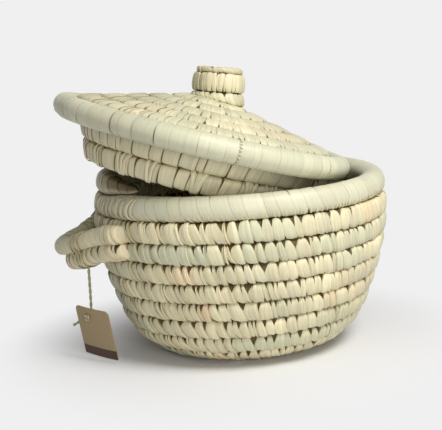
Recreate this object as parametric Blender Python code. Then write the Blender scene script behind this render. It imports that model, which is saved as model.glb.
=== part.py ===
"""Coiled straw storage basket: a bowl wound from one grass coil, a side handle with a hang tag,
and a loose coiled lid that leans on the rim, half open.

The origin is on the floor, on the axis of the bowl. -Y is the front, -X the handle's side.
"""
import math

import bmesh
import bpy
import numpy as np
from mathutils import Matrix, Vector
from mathutils.bvhtree import BVHTree

# Clearances
TURN_GAP = 0.0005
PIECE_GAP = 0.0003

# Bowl coil: height is measured up the wall, depth through it
COIL_HEIGHT = 0.0181
COIL_DEPTH = 0.0190
FLOOR_RADIUS = 0.0627
CORNER_RADIUS = 0.0529
CORNER_ANGLE = math.radians(65.0)
WALL_LENGTH = 0.0962
WALL_ANGLE = math.radians(85.5)
BOWL_TURNS = 12.0 + 2.0 / 3.0
COIL_START_ANGLE = math.radians(-45.0)
COIL_START_TURN = 0.25
BASE_END_TURN = 4.0
LOWER_WALL_END_TURN = 8.0
SEAM_ANGLE = math.radians(90.0)

# Rim coil: its start is as slim as the bowl coil and its end runs out on top of that start
RIM_HEIGHT = 0.0226
RIM_DEPTH = 0.0230
RIM_LEAN_ANGLE = math.radians(102.4)
RIM_OVERLAP = math.radians(30.0)
RIM_SWELL = math.radians(30.0)
RIM_TIP_HEIGHT = 0.0090

# Leaf wrap round the smooth coils
WRAP_THICKNESS = 0.0012

# Handle: two coils that bulge off the wall and droop, the lower one tucked under
HANDLE_START_ANGLE = math.radians(165.0)
HANDLE_SPAN = math.radians(54.0)
HANDLE_UPPER_BULGE = 0.0252
HANDLE_LOWER_BULGE = 0.0167
HANDLE_DROP = 0.0224
# Bulge and droop peak before the middle of the span, and the bulge fades faster than the droop
HANDLE_SKEW = 0.69
HANDLE_BULGE_POWER = 3.0
HANDLE_DROP_POWER = 1.6
HANDLE_UPPER_ROW = 11
HANDLE_COIL_HEIGHT = 0.0158
HANDLE_COIL_DEPTH = 0.0162
HANDLE_TIP_DEPTH = 0.0110

# Lid, in its own frame: z = 0 is the middle plane of its rim coil
LID_RADIUS = 0.1359
LID_RIM_WIDTH = 0.0220
LID_RIM_DEPTH = 0.0222
CROWN_SLOPE = math.radians(13.5)
CROWN_PLUG_LENGTH = 0.0155
CROWN_COIL_WIDTH = 0.0221
CROWN_COIL_DEPTH = 0.0196
CROWN_JOG_START = math.radians(30.0)
CROWN_JOG = math.radians(110.0)
FLANGE_ROWS = 2
FLANGE_COIL_HEIGHT = 0.0205
FLANGE_COIL_DEPTH = 0.0196
FLANGE_LEAN = math.radians(20.0)
FLANGE_JOG_START = math.radians(-45.0)
FLANGE_JOG = math.radians(95.0)

# Lid pose: tipped down to the right, a little down at the back, and slid to the left
LID_TILT = math.radians(15.7)
LID_PITCH = math.radians(1.9)
LID_SLIDE_X = -0.0337
LID_SLIDE_Y = -0.0102

# Knob: the shares are of the barrel's radius
KNOB_LEAN = math.radians(-8.5)
KNOB_OFFSET = 0.0063
KNOB_BARREL_RADIUS = 0.0248
KNOB_BARREL_HEIGHT = 0.0182
KNOB_COLLAR_SHARE = 1.09
KNOB_COLLAR_RADIUS = KNOB_BARREL_RADIUS * KNOB_COLLAR_SHARE
KNOB_COLLAR_HEIGHT = 0.0080
KNOB_CAP_SHARE = 0.90
KNOB_CAP_RADIUS = KNOB_BARREL_RADIUS * KNOB_CAP_SHARE
KNOB_CAP_HEIGHT = 0.0052
KNOB_COIL_DEPTH = 0.0100
KNOB_SEAM_ANGLE = math.radians(75.0)

# Hang tag, turned away from the front and leaning; the string's route is a list of its own points
TAG_WIDTH = 0.0420
TAG_HEIGHT = 0.0525
TAG_THICKNESS = 0.0010
TAG_CORNER = 0.0045
TAG_HOLE_RADIUS = 0.0020
TAG_HOLE_FROM_LEFT = 0.0153
TAG_HOLE_FROM_TOP = 0.0097
TAG_TURN = math.radians(-37.0)
TAG_LEAN = math.radians(15.0)
TAG_SLANT = math.radians(3.5)
KNOT_RADIUS = 0.0029
KNOT_DISC = 0.0015
STRING_DIAMETER = 0.0024
STRING_ROUTE = (
    (-0.1460, -0.0620, 0.0937), (-0.1460, -0.0620, 0.0838), (-0.1460, -0.0620, 0.0745),
    (-0.1460, -0.0620, 0.0650), (-0.1460, -0.0623, 0.0555), (-0.1465, -0.0634, 0.0476),
    (-0.1498, -0.0598, 0.0442), (-0.1546, -0.0554, 0.0415), (-0.1606, -0.0505, 0.0376),
    (-0.1665, -0.0460, 0.0336),
)
STRING_AT_HOLE = 5

# A coil that fills a band of rows starts and ends this thin, as a share of a row
COIL_TIP_SHARE = 0.12
# Depth of a coil's thin tip, as a share of its full depth
TIP_DEPTH_SHARE = 0.5
# Top radius of the base's start knot, as a share of its foot
KNOT_TOP_SHARE = 0.8
# Length of the taper at each end of a handle coil, as a share of its span
HANDLE_TAPER_SHARE = 0.25
# How close the handle's coils come at its middle, as a share of a coil's height
HANDLE_NEST_SHARE = 0.91
# How far up the cap the knob's core reaches
KNOB_CORE_SHARE = 0.8
# Tag knot: its flat faces, its edges, its nose, and how far its belly and nose stand back
KNOT_FACE_SHARE = 0.8
KNOT_EDGE_SHARE = 0.9
KNOT_NOSE_SHARE = 0.7
KNOT_BELLY_SHARE = 0.35
KNOT_NOSE_BACK_SHARE = 0.2
# Spacing of the string's rings, in string radii
STRING_STEP_SHARE = 2.5

# The lid is lowered from this high, to within this much of touching
SEAT_START = 0.40
SEAT_TOLERANCE = 0.000003

# Faces that meet at more than this stay sharp
SHARP_ANGLE = math.radians(40.0)

# Rings of section points round one turn
LOOP_POINTS = 24
RIM_LOOP_POINTS = 40
HANDLE_POINTS = 22
KNOB_POINTS = 20

# Sections as shares of a coil's half height and half depth
CORNER_SHARE = 0.5
FOOT_SHARE = 0.4
OCTAGON_SHARE = 0.41
HEXAGON_SHARES = ((-1, CORNER_SHARE), (0, 1), (1, CORNER_SHARE),
                  (1, -CORNER_SHARE), (0, -1), (-1, -CORNER_SHARE))
FLAT_FOOT_SHARES = ((-1, CORNER_SHARE), (-FOOT_SHARE, 1), (FOOT_SHARE, 1), (1, CORNER_SHARE),
                    (1, -CORNER_SHARE), (0, -1), (-1, -CORNER_SHARE))
OCTAGON_SHARES = ((-1, OCTAGON_SHARE), (-OCTAGON_SHARE, 1), (OCTAGON_SHARE, 1), (1, OCTAGON_SHARE),
                  (1, -OCTAGON_SHARE), (OCTAGON_SHARE, -1), (-OCTAGON_SHARE, -1),
                  (-1, -OCTAGON_SHARE))

FULL_TURN = 2.0 * math.pi
COIL_PITCH = COIL_HEIGHT + TURN_GAP
FLANGE_PITCH = FLANGE_COIL_HEIGHT + TURN_GAP


def clear_scene():
    for old in list(bpy.data.objects):
        bpy.data.objects.remove(old, do_unlink=True)


def make_material(name, colour, roughness):
    material = bpy.data.materials.new(name)
    material.use_nodes = True
    shader = material.node_tree.nodes["Principled BSDF"]
    shader.inputs["Base Color"].default_value = (*colour, 1.0)
    shader.inputs["Roughness"].default_value = roughness
    shader.inputs["Metallic"].default_value = 0.0
    return material


def add_object(name, bm, material, parent=None):
    bmesh.ops.recalc_face_normals(bm, faces=bm.faces)
    mesh = bpy.data.meshes.new(name)
    bm.to_mesh(mesh)
    bm.free()
    mesh.materials.append(material)
    mesh.shade_smooth()
    mesh.set_sharp_from_angle(angle=SHARP_ANGLE)
    piece = bpy.data.objects.new(name, mesh)
    bpy.context.collection.objects.link(piece)
    piece.parent = parent
    return piece


def add_empty(name, matrix, parent=None):
    empty = bpy.data.objects.new(name, None)
    bpy.context.collection.objects.link(empty)
    empty.parent = parent
    empty.matrix_local = matrix
    return empty


def smooth_step(share):
    share = min(max(share, 0.0), 1.0)
    return share * share * (3.0 - 2.0 * share)


# The bowl's profile: coil centres run out along the floor, round the corner and up the wall
def profile_arcs():
    """Each arc as its length and the angle it ends at, 0 flat and 90 degrees upright."""
    return (
        (FLOOR_RADIUS, 0.0),
        (CORNER_RADIUS * CORNER_ANGLE, CORNER_ANGLE),
        (WALL_LENGTH, WALL_ANGLE),
        (COIL_PITCH, RIM_LEAN_ANGLE),
    )


def profile_point(length):
    """Radius, height and angle of the profile at a length from the axis."""
    radius, height, angle = 0.0, COIL_DEPTH / 2.0, 0.0
    left = length
    for arc_length, end_angle in profile_arcs():
        step = min(left, arc_length)
        bend = (end_angle - angle) / arc_length
        new_angle = angle + bend * step
        if bend == 0.0:
            radius += step * math.cos(angle)
            height += step * math.sin(angle)
        else:
            radius += (math.sin(new_angle) - math.sin(angle)) / bend
            height += (math.cos(angle) - math.cos(new_angle)) / bend
        angle = new_angle
        left -= step
        if left <= 0.0:
            return radius, height, angle
    return radius + left * math.cos(angle), height + left * math.sin(angle), angle


def place_on_bowl(length, offset, azimuth):
    """A point at a length along the profile and an offset out of it."""
    radius, height, angle = profile_point(length)
    radius += offset * math.sin(angle)
    height -= offset * math.cos(angle)
    return Vector((radius * math.cos(azimuth), radius * math.sin(azimuth), height))


def sweep(stations, place, section, bore=None):
    """One tube through stations of azimuth, length, half height and half depth.

    Each ring lies in the upright plane of its azimuth. A bore is the thickness of the wall
    that stays round an open hole along the tube.
    """
    bm = bmesh.new()

    def make_rings(inset):
        rings = []
        for azimuth, length, half_height, half_depth in stations:
            ring = []
            for height_share, depth_share in section:
                along = length + height_share * (half_height - inset)
                out = depth_share * (half_depth - inset)
                ring.append(bm.verts.new(place(along, out, azimuth)))
            rings.append(ring)
        return rings

    def skin(rings):
        for first, second in zip(rings, rings[1:]):
            for i in range(len(section)):
                j = (i + 1) % len(section)
                bm.faces.new((first[i], first[j], second[j], second[i]))

    outer = make_rings(0.0)
    skin(outer)
    if bore is not None:
        inner = make_rings(bore)
        skin(inner)
        for end in (0, -1):
            for i in range(len(section)):
                j = (i + 1) % len(section)
                bm.faces.new((outer[end][i], outer[end][j], inner[end][j], inner[end][i]))
    else:
        bm.faces.new(outer[0])
        bm.faces.new(outer[-1])
    bmesh.ops.triangulate(bm, faces=bm.faces)
    return bm


def least_turn_gap(stations, place, section, loop_points):
    """Least distance between the section points of a coil and those one turn on."""
    rings = [[place(length + a * high, b * deep, azimuth) for a, b in section]
             for azimuth, length, high, deep in stations]
    rings = np.array([[tuple(point) for point in ring] for ring in rings])
    least = math.inf
    for i in range(len(rings) - loop_points):
        for j in range(i + loop_points - 1, min(i + loop_points + 2, len(rings))):
            apart = np.linalg.norm(rings[i][:, None] - rings[j][None], axis=2)
            least = min(least, float(apart.min()))
    return least


# Bowl
def bowl_azimuth(turn):
    return COIL_START_ANGLE + FULL_TURN * turn


def bowl_turn_at(azimuth, whole_turns):
    return whole_turns + (azimuth - COIL_START_ANGLE) / FULL_TURN


def bowl_station(turn):
    """The bowl coil at a turn: it swells out of a thin tip round the start knot."""
    share = min(turn, 1.0)
    half_height = COIL_PITCH * share / 2.0 - TURN_GAP / 2.0
    length = COIL_PITCH * (1.0 + turn) / 2.0 if turn < 1.0 else COIL_PITCH * turn
    half_depth = COIL_DEPTH / 2.0 * (TIP_DEPTH_SHARE + (1.0 - TIP_DEPTH_SHARE) * share)
    return bowl_azimuth(turn), length, half_height, half_depth


def bowl_radius(turn):
    _, length, _, _ = bowl_station(turn)
    return profile_point(length)[0]


def bowl_stretch(first_turn, last_turn):
    """Stations of the bowl coil between two turns, on whole steps of azimuth inside."""
    start, end = [turn + side * PIECE_GAP / 2.0 / (FULL_TURN * bowl_radius(turn))
                  for turn, side in ((first_turn, 1.0), (last_turn, -1.0))]
    steps = [k / LOOP_POINTS for k in range(math.ceil(first_turn * LOOP_POINTS + 0.5),
                                            math.ceil(last_turn * LOOP_POINTS - 0.5))]
    return [bowl_station(turn) for turn in [start, *steps, end]]


def rim_half_height(angle):
    """Half height of the rim at an angle from its start."""
    slim = COIL_HEIGHT / 2.0
    full = RIM_HEIGHT / 2.0
    tip = RIM_TIP_HEIGHT / 2.0
    if angle < FULL_TURN:
        return slim + (full - slim) * smooth_step(angle / RIM_SWELL)
    return full + (tip - full) * smooth_step((angle - FULL_TURN) / RIM_OVERLAP)


def rim_station(angle):
    """The rim at an angle from its start: it lies on the coil one turn below it."""
    start = bowl_azimuth(BOWL_TURNS)
    half = rim_half_height(angle)
    if angle < FULL_TURN:
        _, below, below_half, _ = bowl_station(BOWL_TURNS - 1.0 + angle / FULL_TURN)
    else:
        _, below, below_half, _ = rim_station(angle - FULL_TURN)
    length = below + below_half + TURN_GAP + half
    return start + angle, length, half, half * RIM_DEPTH / RIM_HEIGHT


def rim_stations():
    trim = PIECE_GAP / 2.0 / bowl_radius(BOWL_TURNS)
    total = FULL_TURN + RIM_OVERLAP
    count = round(RIM_LOOP_POINTS * total / FULL_TURN)
    return [rim_station(trim + (total - trim) * k / count) for k in range(count + 1)]


def build_bowl(straw, pale_straw, grass):
    knot = bmesh.new()
    knot_radius = COIL_PITCH / 2.0 - PIECE_GAP
    bmesh.ops.create_cone(knot, cap_ends=True, segments=LOOP_POINTS, radius1=knot_radius,
                          radius2=knot_radius * KNOT_TOP_SHARE, depth=COIL_DEPTH,
                          matrix=Matrix.Translation((0.0, 0.0, COIL_DEPTH / 2.0)))
    add_object("base_start_knot", knot, straw)

    base_end = bowl_turn_at(SEAM_ANGLE, BASE_END_TURN)
    wall_middle = bowl_turn_at(SEAM_ANGLE, LOWER_WALL_END_TURN)
    spans = (
        ("base_coil", COIL_START_TURN, base_end, FLAT_FOOT_SHARES),
        ("lower_wall_coil", base_end, wall_middle, HEXAGON_SHARES),
        ("upper_wall_coil", wall_middle, BOWL_TURNS, HEXAGON_SHARES),
    )
    for name, first, last, section in spans:
        stations = bowl_stretch(first, last)
        add_object(name, sweep(stations, place_on_bowl, section), straw)
        gap = least_turn_gap(stations, place_on_bowl, section, LOOP_POINTS)
        print(name, "least gap to itself", round(gap * 1000.0, 3), "mm")

    stations = rim_stations()
    add_object("rim_leaf_wrap",
               sweep(stations, place_on_bowl, OCTAGON_SHARES, bore=WRAP_THICKNESS), pale_straw)
    add_object("rim_grass_core",
               sweep(core_of(stations), place_on_bowl, OCTAGON_SHARES), grass)


def core_of(stations):
    """The bundle inside a wrap."""
    inset = WRAP_THICKNESS + PIECE_GAP
    return [(azimuth, length, high - inset, deep - inset)
            for azimuth, length, high, deep in stations]


# Handle: each coil follows one row of the wall and bulges off it
def handle_fullness(azimuth):
    share = (azimuth - HANDLE_START_ANGLE) / HANDLE_SPAN
    return smooth_step(min(share, 1.0 - share) / HANDLE_TAPER_SHARE)


def handle_half_depth(azimuth):
    swell = handle_fullness(azimuth)
    return (HANDLE_TIP_DEPTH + (HANDLE_COIL_DEPTH - HANDLE_TIP_DEPTH) * swell) / 2.0


def handle_place(row, bulge, drop):
    """Placing function for a handle coil: it follows a row of the wall, bulges off it and droops."""
    def place(along, out, azimuth):
        share = (azimuth - HANDLE_START_ANGLE) / HANDLE_SPAN
        share = min(max(share, 0.0), 1.0)
        wave = max(math.sin(math.pi * share ** HANDLE_SKEW), 0.0)
        swing = wave ** HANDLE_BULGE_POWER
        sag = wave ** HANDLE_DROP_POWER
        _, length, _, _ = bowl_station(bowl_turn_at(azimuth, row))
        radius, height, angle = profile_point(length)
        radius += COIL_DEPTH / 2.0 * math.sin(angle) + PIECE_GAP
        radius += handle_half_depth(azimuth) + out + bulge * swing
        height += along - COIL_DEPTH / 2.0 * math.cos(angle) - drop * sag
        return Vector((radius * math.cos(azimuth), radius * math.sin(azimuth), height))
    return place


def handle_stations():
    stations = []
    for k in range(HANDLE_POINTS + 1):
        azimuth = HANDLE_START_ANGLE + HANDLE_SPAN * k / HANDLE_POINTS
        half_depth = handle_half_depth(azimuth)
        half_height = half_depth * HANDLE_COIL_HEIGHT / HANDLE_COIL_DEPTH
        stations.append((azimuth, 0.0, half_height, half_depth))
    return stations


def build_handle(straw, pale_straw, grass):
    stations = handle_stations()
    upper = handle_place(HANDLE_UPPER_ROW, HANDLE_UPPER_BULGE, HANDLE_DROP)
    # At its middle the lower coil nests under the upper one
    closing = COIL_PITCH - HANDLE_COIL_HEIGHT * HANDLE_NEST_SHARE
    lower = handle_place(HANDLE_UPPER_ROW - 1, HANDLE_LOWER_BULGE, HANDLE_DROP - closing)
    add_object("handle_upper_leaf_wrap",
               sweep(stations, upper, OCTAGON_SHARES, bore=WRAP_THICKNESS), pale_straw)
    add_object("handle_upper_grass_core", sweep(core_of(stations), upper, OCTAGON_SHARES), grass)
    add_object("handle_lower_coil", sweep(stations, lower, OCTAGON_SHARES), straw)


# Rows of a lid coil: round rings for most of a turn, then a step to the next row
def row_steps(turn, jog_share, rows):
    """How many rows lie inside the outer edge of the coil at a turn."""
    if turn <= 0.0:
        return 0.0
    whole = math.floor(turn)
    return min(whole + smooth_step((turn - whole) / jog_share), float(rows))


def row_stations(first, pitch, rows, jog_start, jog, depth):
    """Stations of a coil that fills the band of its rows, thin at both ends."""
    jog_share = jog / FULL_TURN
    stations = []
    count = math.ceil((rows + jog_share) * LOOP_POINTS)
    for k in range(count + 1):
        turn = k / LOOP_POINTS
        inner = row_steps(turn - 1.0, jog_share, rows)
        outer = row_steps(turn, jog_share, rows)
        fullness = outer - inner
        if fullness < COIL_TIP_SHARE:
            continue
        length = first + pitch * (inner + outer) / 2.0
        half_height = (pitch * fullness - TURN_GAP) / 2.0
        half_depth = depth / 2.0 * (TIP_DEPTH_SHARE + (1.0 - TIP_DEPTH_SHARE) * fullness)
        stations.append((jog_start + FULL_TURN * turn, length, half_height, half_depth))
    return stations


def ring_stations(start, length, half_height, half_depth, radius, points):
    """One loop whose two ends meet, a turn gap apart."""
    trim = TURN_GAP / 2.0 / radius
    return [(start + trim + (FULL_TURN - 2.0 * trim) * k / points, length, half_height, half_depth)
            for k in range(points + 1)]


# Lid
def place_on_crown(length, offset, azimuth):
    """A point down the slope of the lid from its peak, and an offset up out of it."""
    radius = length * math.cos(CROWN_SLOPE) + offset * math.sin(CROWN_SLOPE)
    height = (LID_RADIUS * math.tan(CROWN_SLOPE) - length * math.sin(CROWN_SLOPE)
              + offset * math.cos(CROWN_SLOPE))
    return Vector((radius * math.cos(azimuth), radius * math.sin(azimuth), height))


# Down the slope from the peak: the start plug, then as many whole rows as fit, then the rim
LID_RIM_LENGTH = LID_RADIUS / math.cos(CROWN_SLOPE)
CROWN_END = LID_RIM_LENGTH - LID_RIM_WIDTH / 2.0 - PIECE_GAP
CROWN_ROWS = round((CROWN_END - CROWN_PLUG_LENGTH) / (CROWN_COIL_WIDTH + TURN_GAP))
CROWN_PITCH = (CROWN_END - CROWN_PLUG_LENGTH) / CROWN_ROWS
OUTER_ROW = CROWN_END - CROWN_PITCH / 2.0
INNER_ROW = CROWN_PLUG_LENGTH + CROWN_PITCH / 2.0


def place_on_flange(length, offset, azimuth):
    """A point down the flange from where it is sewn under the lid's outer row."""
    seat = place_on_crown(OUTER_ROW, -CROWN_COIL_DEPTH / 2.0, 0.0)
    down = length + PIECE_GAP
    radius = seat.x - down * math.sin(FLANGE_LEAN) + offset * math.cos(FLANGE_LEAN)
    height = seat.z - down * math.cos(FLANGE_LEAN) - offset * math.sin(FLANGE_LEAN)
    return Vector((radius * math.cos(azimuth), radius * math.sin(azimuth), height))


def crown_height(radius):
    """Height of the lid's top face on the inner slope of its innermost row."""
    crest = place_on_crown(INNER_ROW, CROWN_COIL_DEPTH / 2.0, 0.0)
    corner = place_on_crown(CROWN_PLUG_LENGTH, CROWN_COIL_DEPTH / 2.0 * CORNER_SHARE, 0.0)
    share = (radius - corner.x) / (crest.x - corner.x)
    return corner.z + (crest.z - corner.z) * min(share, 1.0)


def build_lid(lid, straw, pale_straw, grass):
    rim = ring_stations(SEAM_ANGLE, LID_RIM_LENGTH, LID_RIM_WIDTH / 2.0,
                        LID_RIM_DEPTH / 2.0, LID_RADIUS, RIM_LOOP_POINTS)
    add_object("lid_rim_leaf_wrap",
               sweep(rim, place_on_crown, OCTAGON_SHARES, bore=WRAP_THICKNESS), pale_straw, lid)
    add_object("lid_rim_grass_core",
               sweep(core_of(rim), place_on_crown, OCTAGON_SHARES), grass, lid)

    crown = row_stations(CROWN_PLUG_LENGTH, CROWN_PITCH, CROWN_ROWS, CROWN_JOG_START, CROWN_JOG,
                         CROWN_COIL_DEPTH)
    flange = row_stations(0.0, FLANGE_PITCH, FLANGE_ROWS, FLANGE_JOG_START, FLANGE_JOG,
                          FLANGE_COIL_DEPTH)
    for name, stations, place in (("lid_crown_coil", crown, place_on_crown),
                                  ("lid_flange_coil", flange, place_on_flange)):
        add_object(name, sweep(stations, place, HEXAGON_SHARES), straw, lid)
        gap = least_turn_gap(stations, place, HEXAGON_SHARES, LOOP_POINTS)
        print(name, "least gap to itself", round(gap * 1000.0, 3), "mm")

    corner = place_on_crown(CROWN_PLUG_LENGTH, -CROWN_COIL_DEPTH / 2.0 * CORNER_SHARE, 0.0)
    plug_radius = corner.x * math.cos(math.pi / LOOP_POINTS) - PIECE_GAP
    plug_top = knob_foot_height() - PIECE_GAP
    add_post("lid_start_knot", plug_radius, corner.z, plug_top, grass, lid)


def add_post(name, radius, low, high, material, parent):
    bm = bmesh.new()
    bmesh.ops.create_cone(bm, cap_ends=True, segments=LOOP_POINTS, radius1=radius, radius2=radius,
                          depth=high - low, matrix=Matrix.Translation((0, 0, (low + high) / 2.0)))
    return add_object(name, bm, material, parent)


# Knob: the collar is a wedge that takes up the lean, the barrel and cap stand in the knob's frame
def knob_foot_height():
    return crown_height(KNOB_OFFSET + KNOB_COLLAR_RADIUS) + PIECE_GAP


def knob_frame():
    return (Matrix.Translation((KNOB_OFFSET, 0.0, knob_foot_height()))
            @ Matrix.Rotation(KNOB_LEAN, 4, "Y"))


COLLAR_MIDDLE_AND_HALF_SHARES = (0.5, 0.5)


def place_on_collar(share, out, azimuth):
    """A point of the collar: share 0 is its flat foot on the lid, 1 its top under the barrel."""
    radius = KNOB_COLLAR_RADIUS - KNOB_COIL_DEPTH / 2.0 + out
    foot = Vector((KNOB_OFFSET + radius * math.cos(azimuth), radius * math.sin(azimuth),
                   knob_foot_height()))
    top_radius = KNOB_BARREL_RADIUS - KNOB_COIL_DEPTH / 2.0 + out
    top = knob_frame() @ Vector((top_radius * math.cos(azimuth), top_radius * math.sin(azimuth),
                                 KNOB_COLLAR_HEIGHT))
    return foot.lerp(top, share)


def knob_place(outer_radius):
    def place(height, out, azimuth):
        radius = outer_radius - KNOB_COIL_DEPTH / 2.0 + out
        return Vector((radius * math.cos(azimuth), radius * math.sin(azimuth), height))
    return place


def build_knob(lid, straw, grass):
    knob = add_empty("knob_frame", knob_frame(), lid)
    half_depth = KNOB_COIL_DEPTH / 2.0
    collar = ring_stations(KNOB_SEAM_ANGLE, *COLLAR_MIDDLE_AND_HALF_SHARES, half_depth,
                           KNOB_COLLAR_RADIUS, KNOB_POINTS)
    add_object("knob_collar_coil", sweep(collar, place_on_collar, OCTAGON_SHARES), straw, lid)

    barrel_low = KNOB_COLLAR_HEIGHT + PIECE_GAP
    barrel = ring_stations(KNOB_SEAM_ANGLE, barrel_low + KNOB_BARREL_HEIGHT / 2.0,
                           KNOB_BARREL_HEIGHT / 2.0, half_depth, KNOB_BARREL_RADIUS, KNOB_POINTS)
    add_object("knob_barrel_coil",
               sweep(barrel, knob_place(KNOB_BARREL_RADIUS), OCTAGON_SHARES), straw, knob)

    cap_low = barrel_low + KNOB_BARREL_HEIGHT + PIECE_GAP
    cap = ring_stations(KNOB_SEAM_ANGLE, cap_low + KNOB_CAP_HEIGHT / 2.0, KNOB_CAP_HEIGHT / 2.0,
                        half_depth, KNOB_CAP_RADIUS, KNOB_POINTS)
    add_object("knob_cap_coil",
               sweep(cap, knob_place(KNOB_CAP_RADIUS), OCTAGON_SHARES), straw, knob)

    inner = min(KNOB_CAP_RADIUS, KNOB_BARREL_RADIUS) - KNOB_COIL_DEPTH
    core_radius = inner * math.cos(math.pi / KNOB_POINTS) - PIECE_GAP
    core_low = core_radius * math.tan(abs(KNOB_LEAN)) + PIECE_GAP
    core_high = cap_low + KNOB_CAP_HEIGHT * KNOB_CORE_SHARE
    add_post("knob_grass_core", core_radius, core_low, core_high, grass, knob)


def tree_of(pieces):
    """Search tree of the triangles of some pieces, in world space."""
    points = []
    faces = []
    for piece in pieces:
        first = len(points)
        points += [piece.matrix_world @ vertex.co for vertex in piece.data.vertices]
        faces += [[first + i for i in face.vertices] for face in piece.data.polygons]
    return BVHTree.FromPolygons(points, faces)


def seat_lid(lid):
    """Lower the tipped lid until it all but touches the bowl, and leave the piece gap."""
    bowl = tree_of([bpy.data.objects[name] for name in ("rim_leaf_wrap", "upper_wall_coil")])
    pieces = [bpy.data.objects[name] for name in ("lid_rim_leaf_wrap", "lid_flange_coil")]
    low, high = 0.0, SEAT_START
    while high - low > SEAT_TOLERANCE:
        middle = (low + high) / 2.0
        lid.location.z = middle
        bpy.context.view_layer.update()
        if bowl.overlap(tree_of(pieces)):
            low = middle
        else:
            high = middle
    lid.location.z = high + PIECE_GAP
    bpy.context.view_layer.update()
    print("lid stands at", round(lid.location.z * 1000.0, 3), "mm")


# Hang tag, on its string under the lower handle coil
def build_tag(kraft, twine):
    route = [Vector(point) for point in STRING_ROUTE]
    string_radius = STRING_DIAMETER / 2.0
    add_string("tag_string", route, string_radius, twine)

    # In the tag's frame the string passes the hole at the origin, and -Y is the card's face
    tag = (Matrix.Translation(route[STRING_AT_HOLE]) @ Matrix.Rotation(TAG_TURN, 4, "Z")
           @ Matrix.Rotation(TAG_LEAN, 4, "X") @ Matrix.Rotation(TAG_SLANT, 4, "Y"))
    knot_back = -string_radius - PIECE_GAP
    card_back = knot_back - KNOT_DISC - PIECE_GAP
    card_front = card_back - TAG_THICKNESS
    knot_front = card_front - PIECE_GAP - KNOT_RADIUS
    shank = TAG_HOLE_RADIUS * math.cos(math.pi / KNOB_POINTS) - PIECE_GAP
    profile = (
        (0.0, knot_back),
        (KNOT_RADIUS * KNOT_FACE_SHARE, knot_back),
        (KNOT_RADIUS, knot_back - KNOT_DISC / 2.0),
        (KNOT_RADIUS * KNOT_EDGE_SHARE, card_back + PIECE_GAP),
        (shank, card_back + PIECE_GAP),
        (shank, card_front - PIECE_GAP),
        (KNOT_RADIUS * KNOT_EDGE_SHARE, card_front - PIECE_GAP),
        (KNOT_RADIUS, card_front - PIECE_GAP - KNOT_RADIUS * KNOT_BELLY_SHARE),
        (KNOT_RADIUS * KNOT_NOSE_SHARE, knot_front + KNOT_RADIUS * KNOT_NOSE_BACK_SHARE),
        (0.0, knot_front),
    )
    add_turned("tag_knot", profile, twine).matrix_world = tag
    add_card("tag_card", card_back, kraft).matrix_world = tag


def add_string(name, route, radius, material):
    """A round tube along a smooth curve through the route's points."""
    curve = bpy.data.curves.new(name, "CURVE")
    curve.dimensions = "3D"
    curve.bevel_depth = radius
    curve.bevel_resolution = 2
    curve.use_fill_caps = True
    points = smooth_route(route, radius * STRING_STEP_SHARE)
    spline = curve.splines.new("POLY")
    spline.points.add(len(points) - 1)
    for target, point in zip(spline.points, points):
        target.co = (*point, 1.0)
    curve.materials.append(material)
    string = bpy.data.objects.new(name, curve)
    bpy.context.collection.objects.link(string)


def smooth_route(route, spacing):
    """Points of a Catmull-Rom curve through the route, about a spacing apart."""
    ends = [route[0] * 2.0 - route[1], *route, route[-1] * 2.0 - route[-2]]
    points = [route[0]]
    for before, first, second, after in zip(ends, ends[1:], ends[2:], ends[3:]):
        steps = max(1, round((second - first).length / spacing))
        for k in range(1, steps + 1):
            t = k / steps
            points.append(0.5 * ((2.0 * first) + (second - before) * t
                                 + (2.0 * before - 5.0 * first + 4.0 * second - after) * t ** 2
                                 + (3.0 * first - before - 3.0 * second + after) * t ** 3))
    return points


def add_turned(name, profile, material):
    """A solid turned about its own Y axis."""
    bm = bmesh.new()
    rings = []
    for radius, y in profile:
        if radius == 0.0:
            rings.append([bm.verts.new((0.0, y, 0.0))])
            continue
        rings.append([bm.verts.new((radius * math.cos(FULL_TURN * k / KNOB_POINTS), y,
                                    radius * math.sin(FULL_TURN * k / KNOB_POINTS)))
                      for k in range(KNOB_POINTS)])
    for first, second in zip(rings, rings[1:]):
        for k in range(KNOB_POINTS):
            j = (k + 1) % KNOB_POINTS
            corners = [first[k % len(first)], first[j % len(first)],
                       second[j % len(second)], second[k % len(second)]]
            bm.faces.new(list(dict.fromkeys(corners)))
    bmesh.ops.triangulate(bm, faces=bm.faces)
    return add_object(name, bm, material)


def add_card(name, back, material):
    """A card with its hole at the origin and its top corners cut off."""
    left, right = -TAG_HOLE_FROM_LEFT, TAG_WIDTH - TAG_HOLE_FROM_LEFT
    top = TAG_HOLE_FROM_TOP
    bottom = TAG_HOLE_FROM_TOP - TAG_HEIGHT
    outline = ((left, bottom), (right, bottom), (right, top - TAG_CORNER),
               (right - TAG_CORNER, top), (left + TAG_CORNER, top), (left, top - TAG_CORNER))
    rim = [(TAG_HOLE_RADIUS * math.cos(FULL_TURN * k / KNOB_POINTS),
            TAG_HOLE_RADIUS * math.sin(FULL_TURN * k / KNOB_POINTS)) for k in range(KNOB_POINTS)]
    bm = bmesh.new()
    edges = []
    for loop in (outline, rim):
        corners = [bm.verts.new((x, back, z)) for x, z in loop]
        edges += [bm.edges.new((corners[k - 1], corners[k])) for k in range(len(corners))]
    bmesh.ops.triangle_fill(bm, edges=edges, use_beauty=True)
    extruded = bmesh.ops.extrude_face_region(bm, geom=bm.faces[:])
    moved = [item for item in extruded["geom"] if isinstance(item, bmesh.types.BMVert)]
    bmesh.ops.translate(bm, verts=moved, vec=(0.0, -TAG_THICKNESS, 0.0))
    return add_object(name, bm, material)


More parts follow.
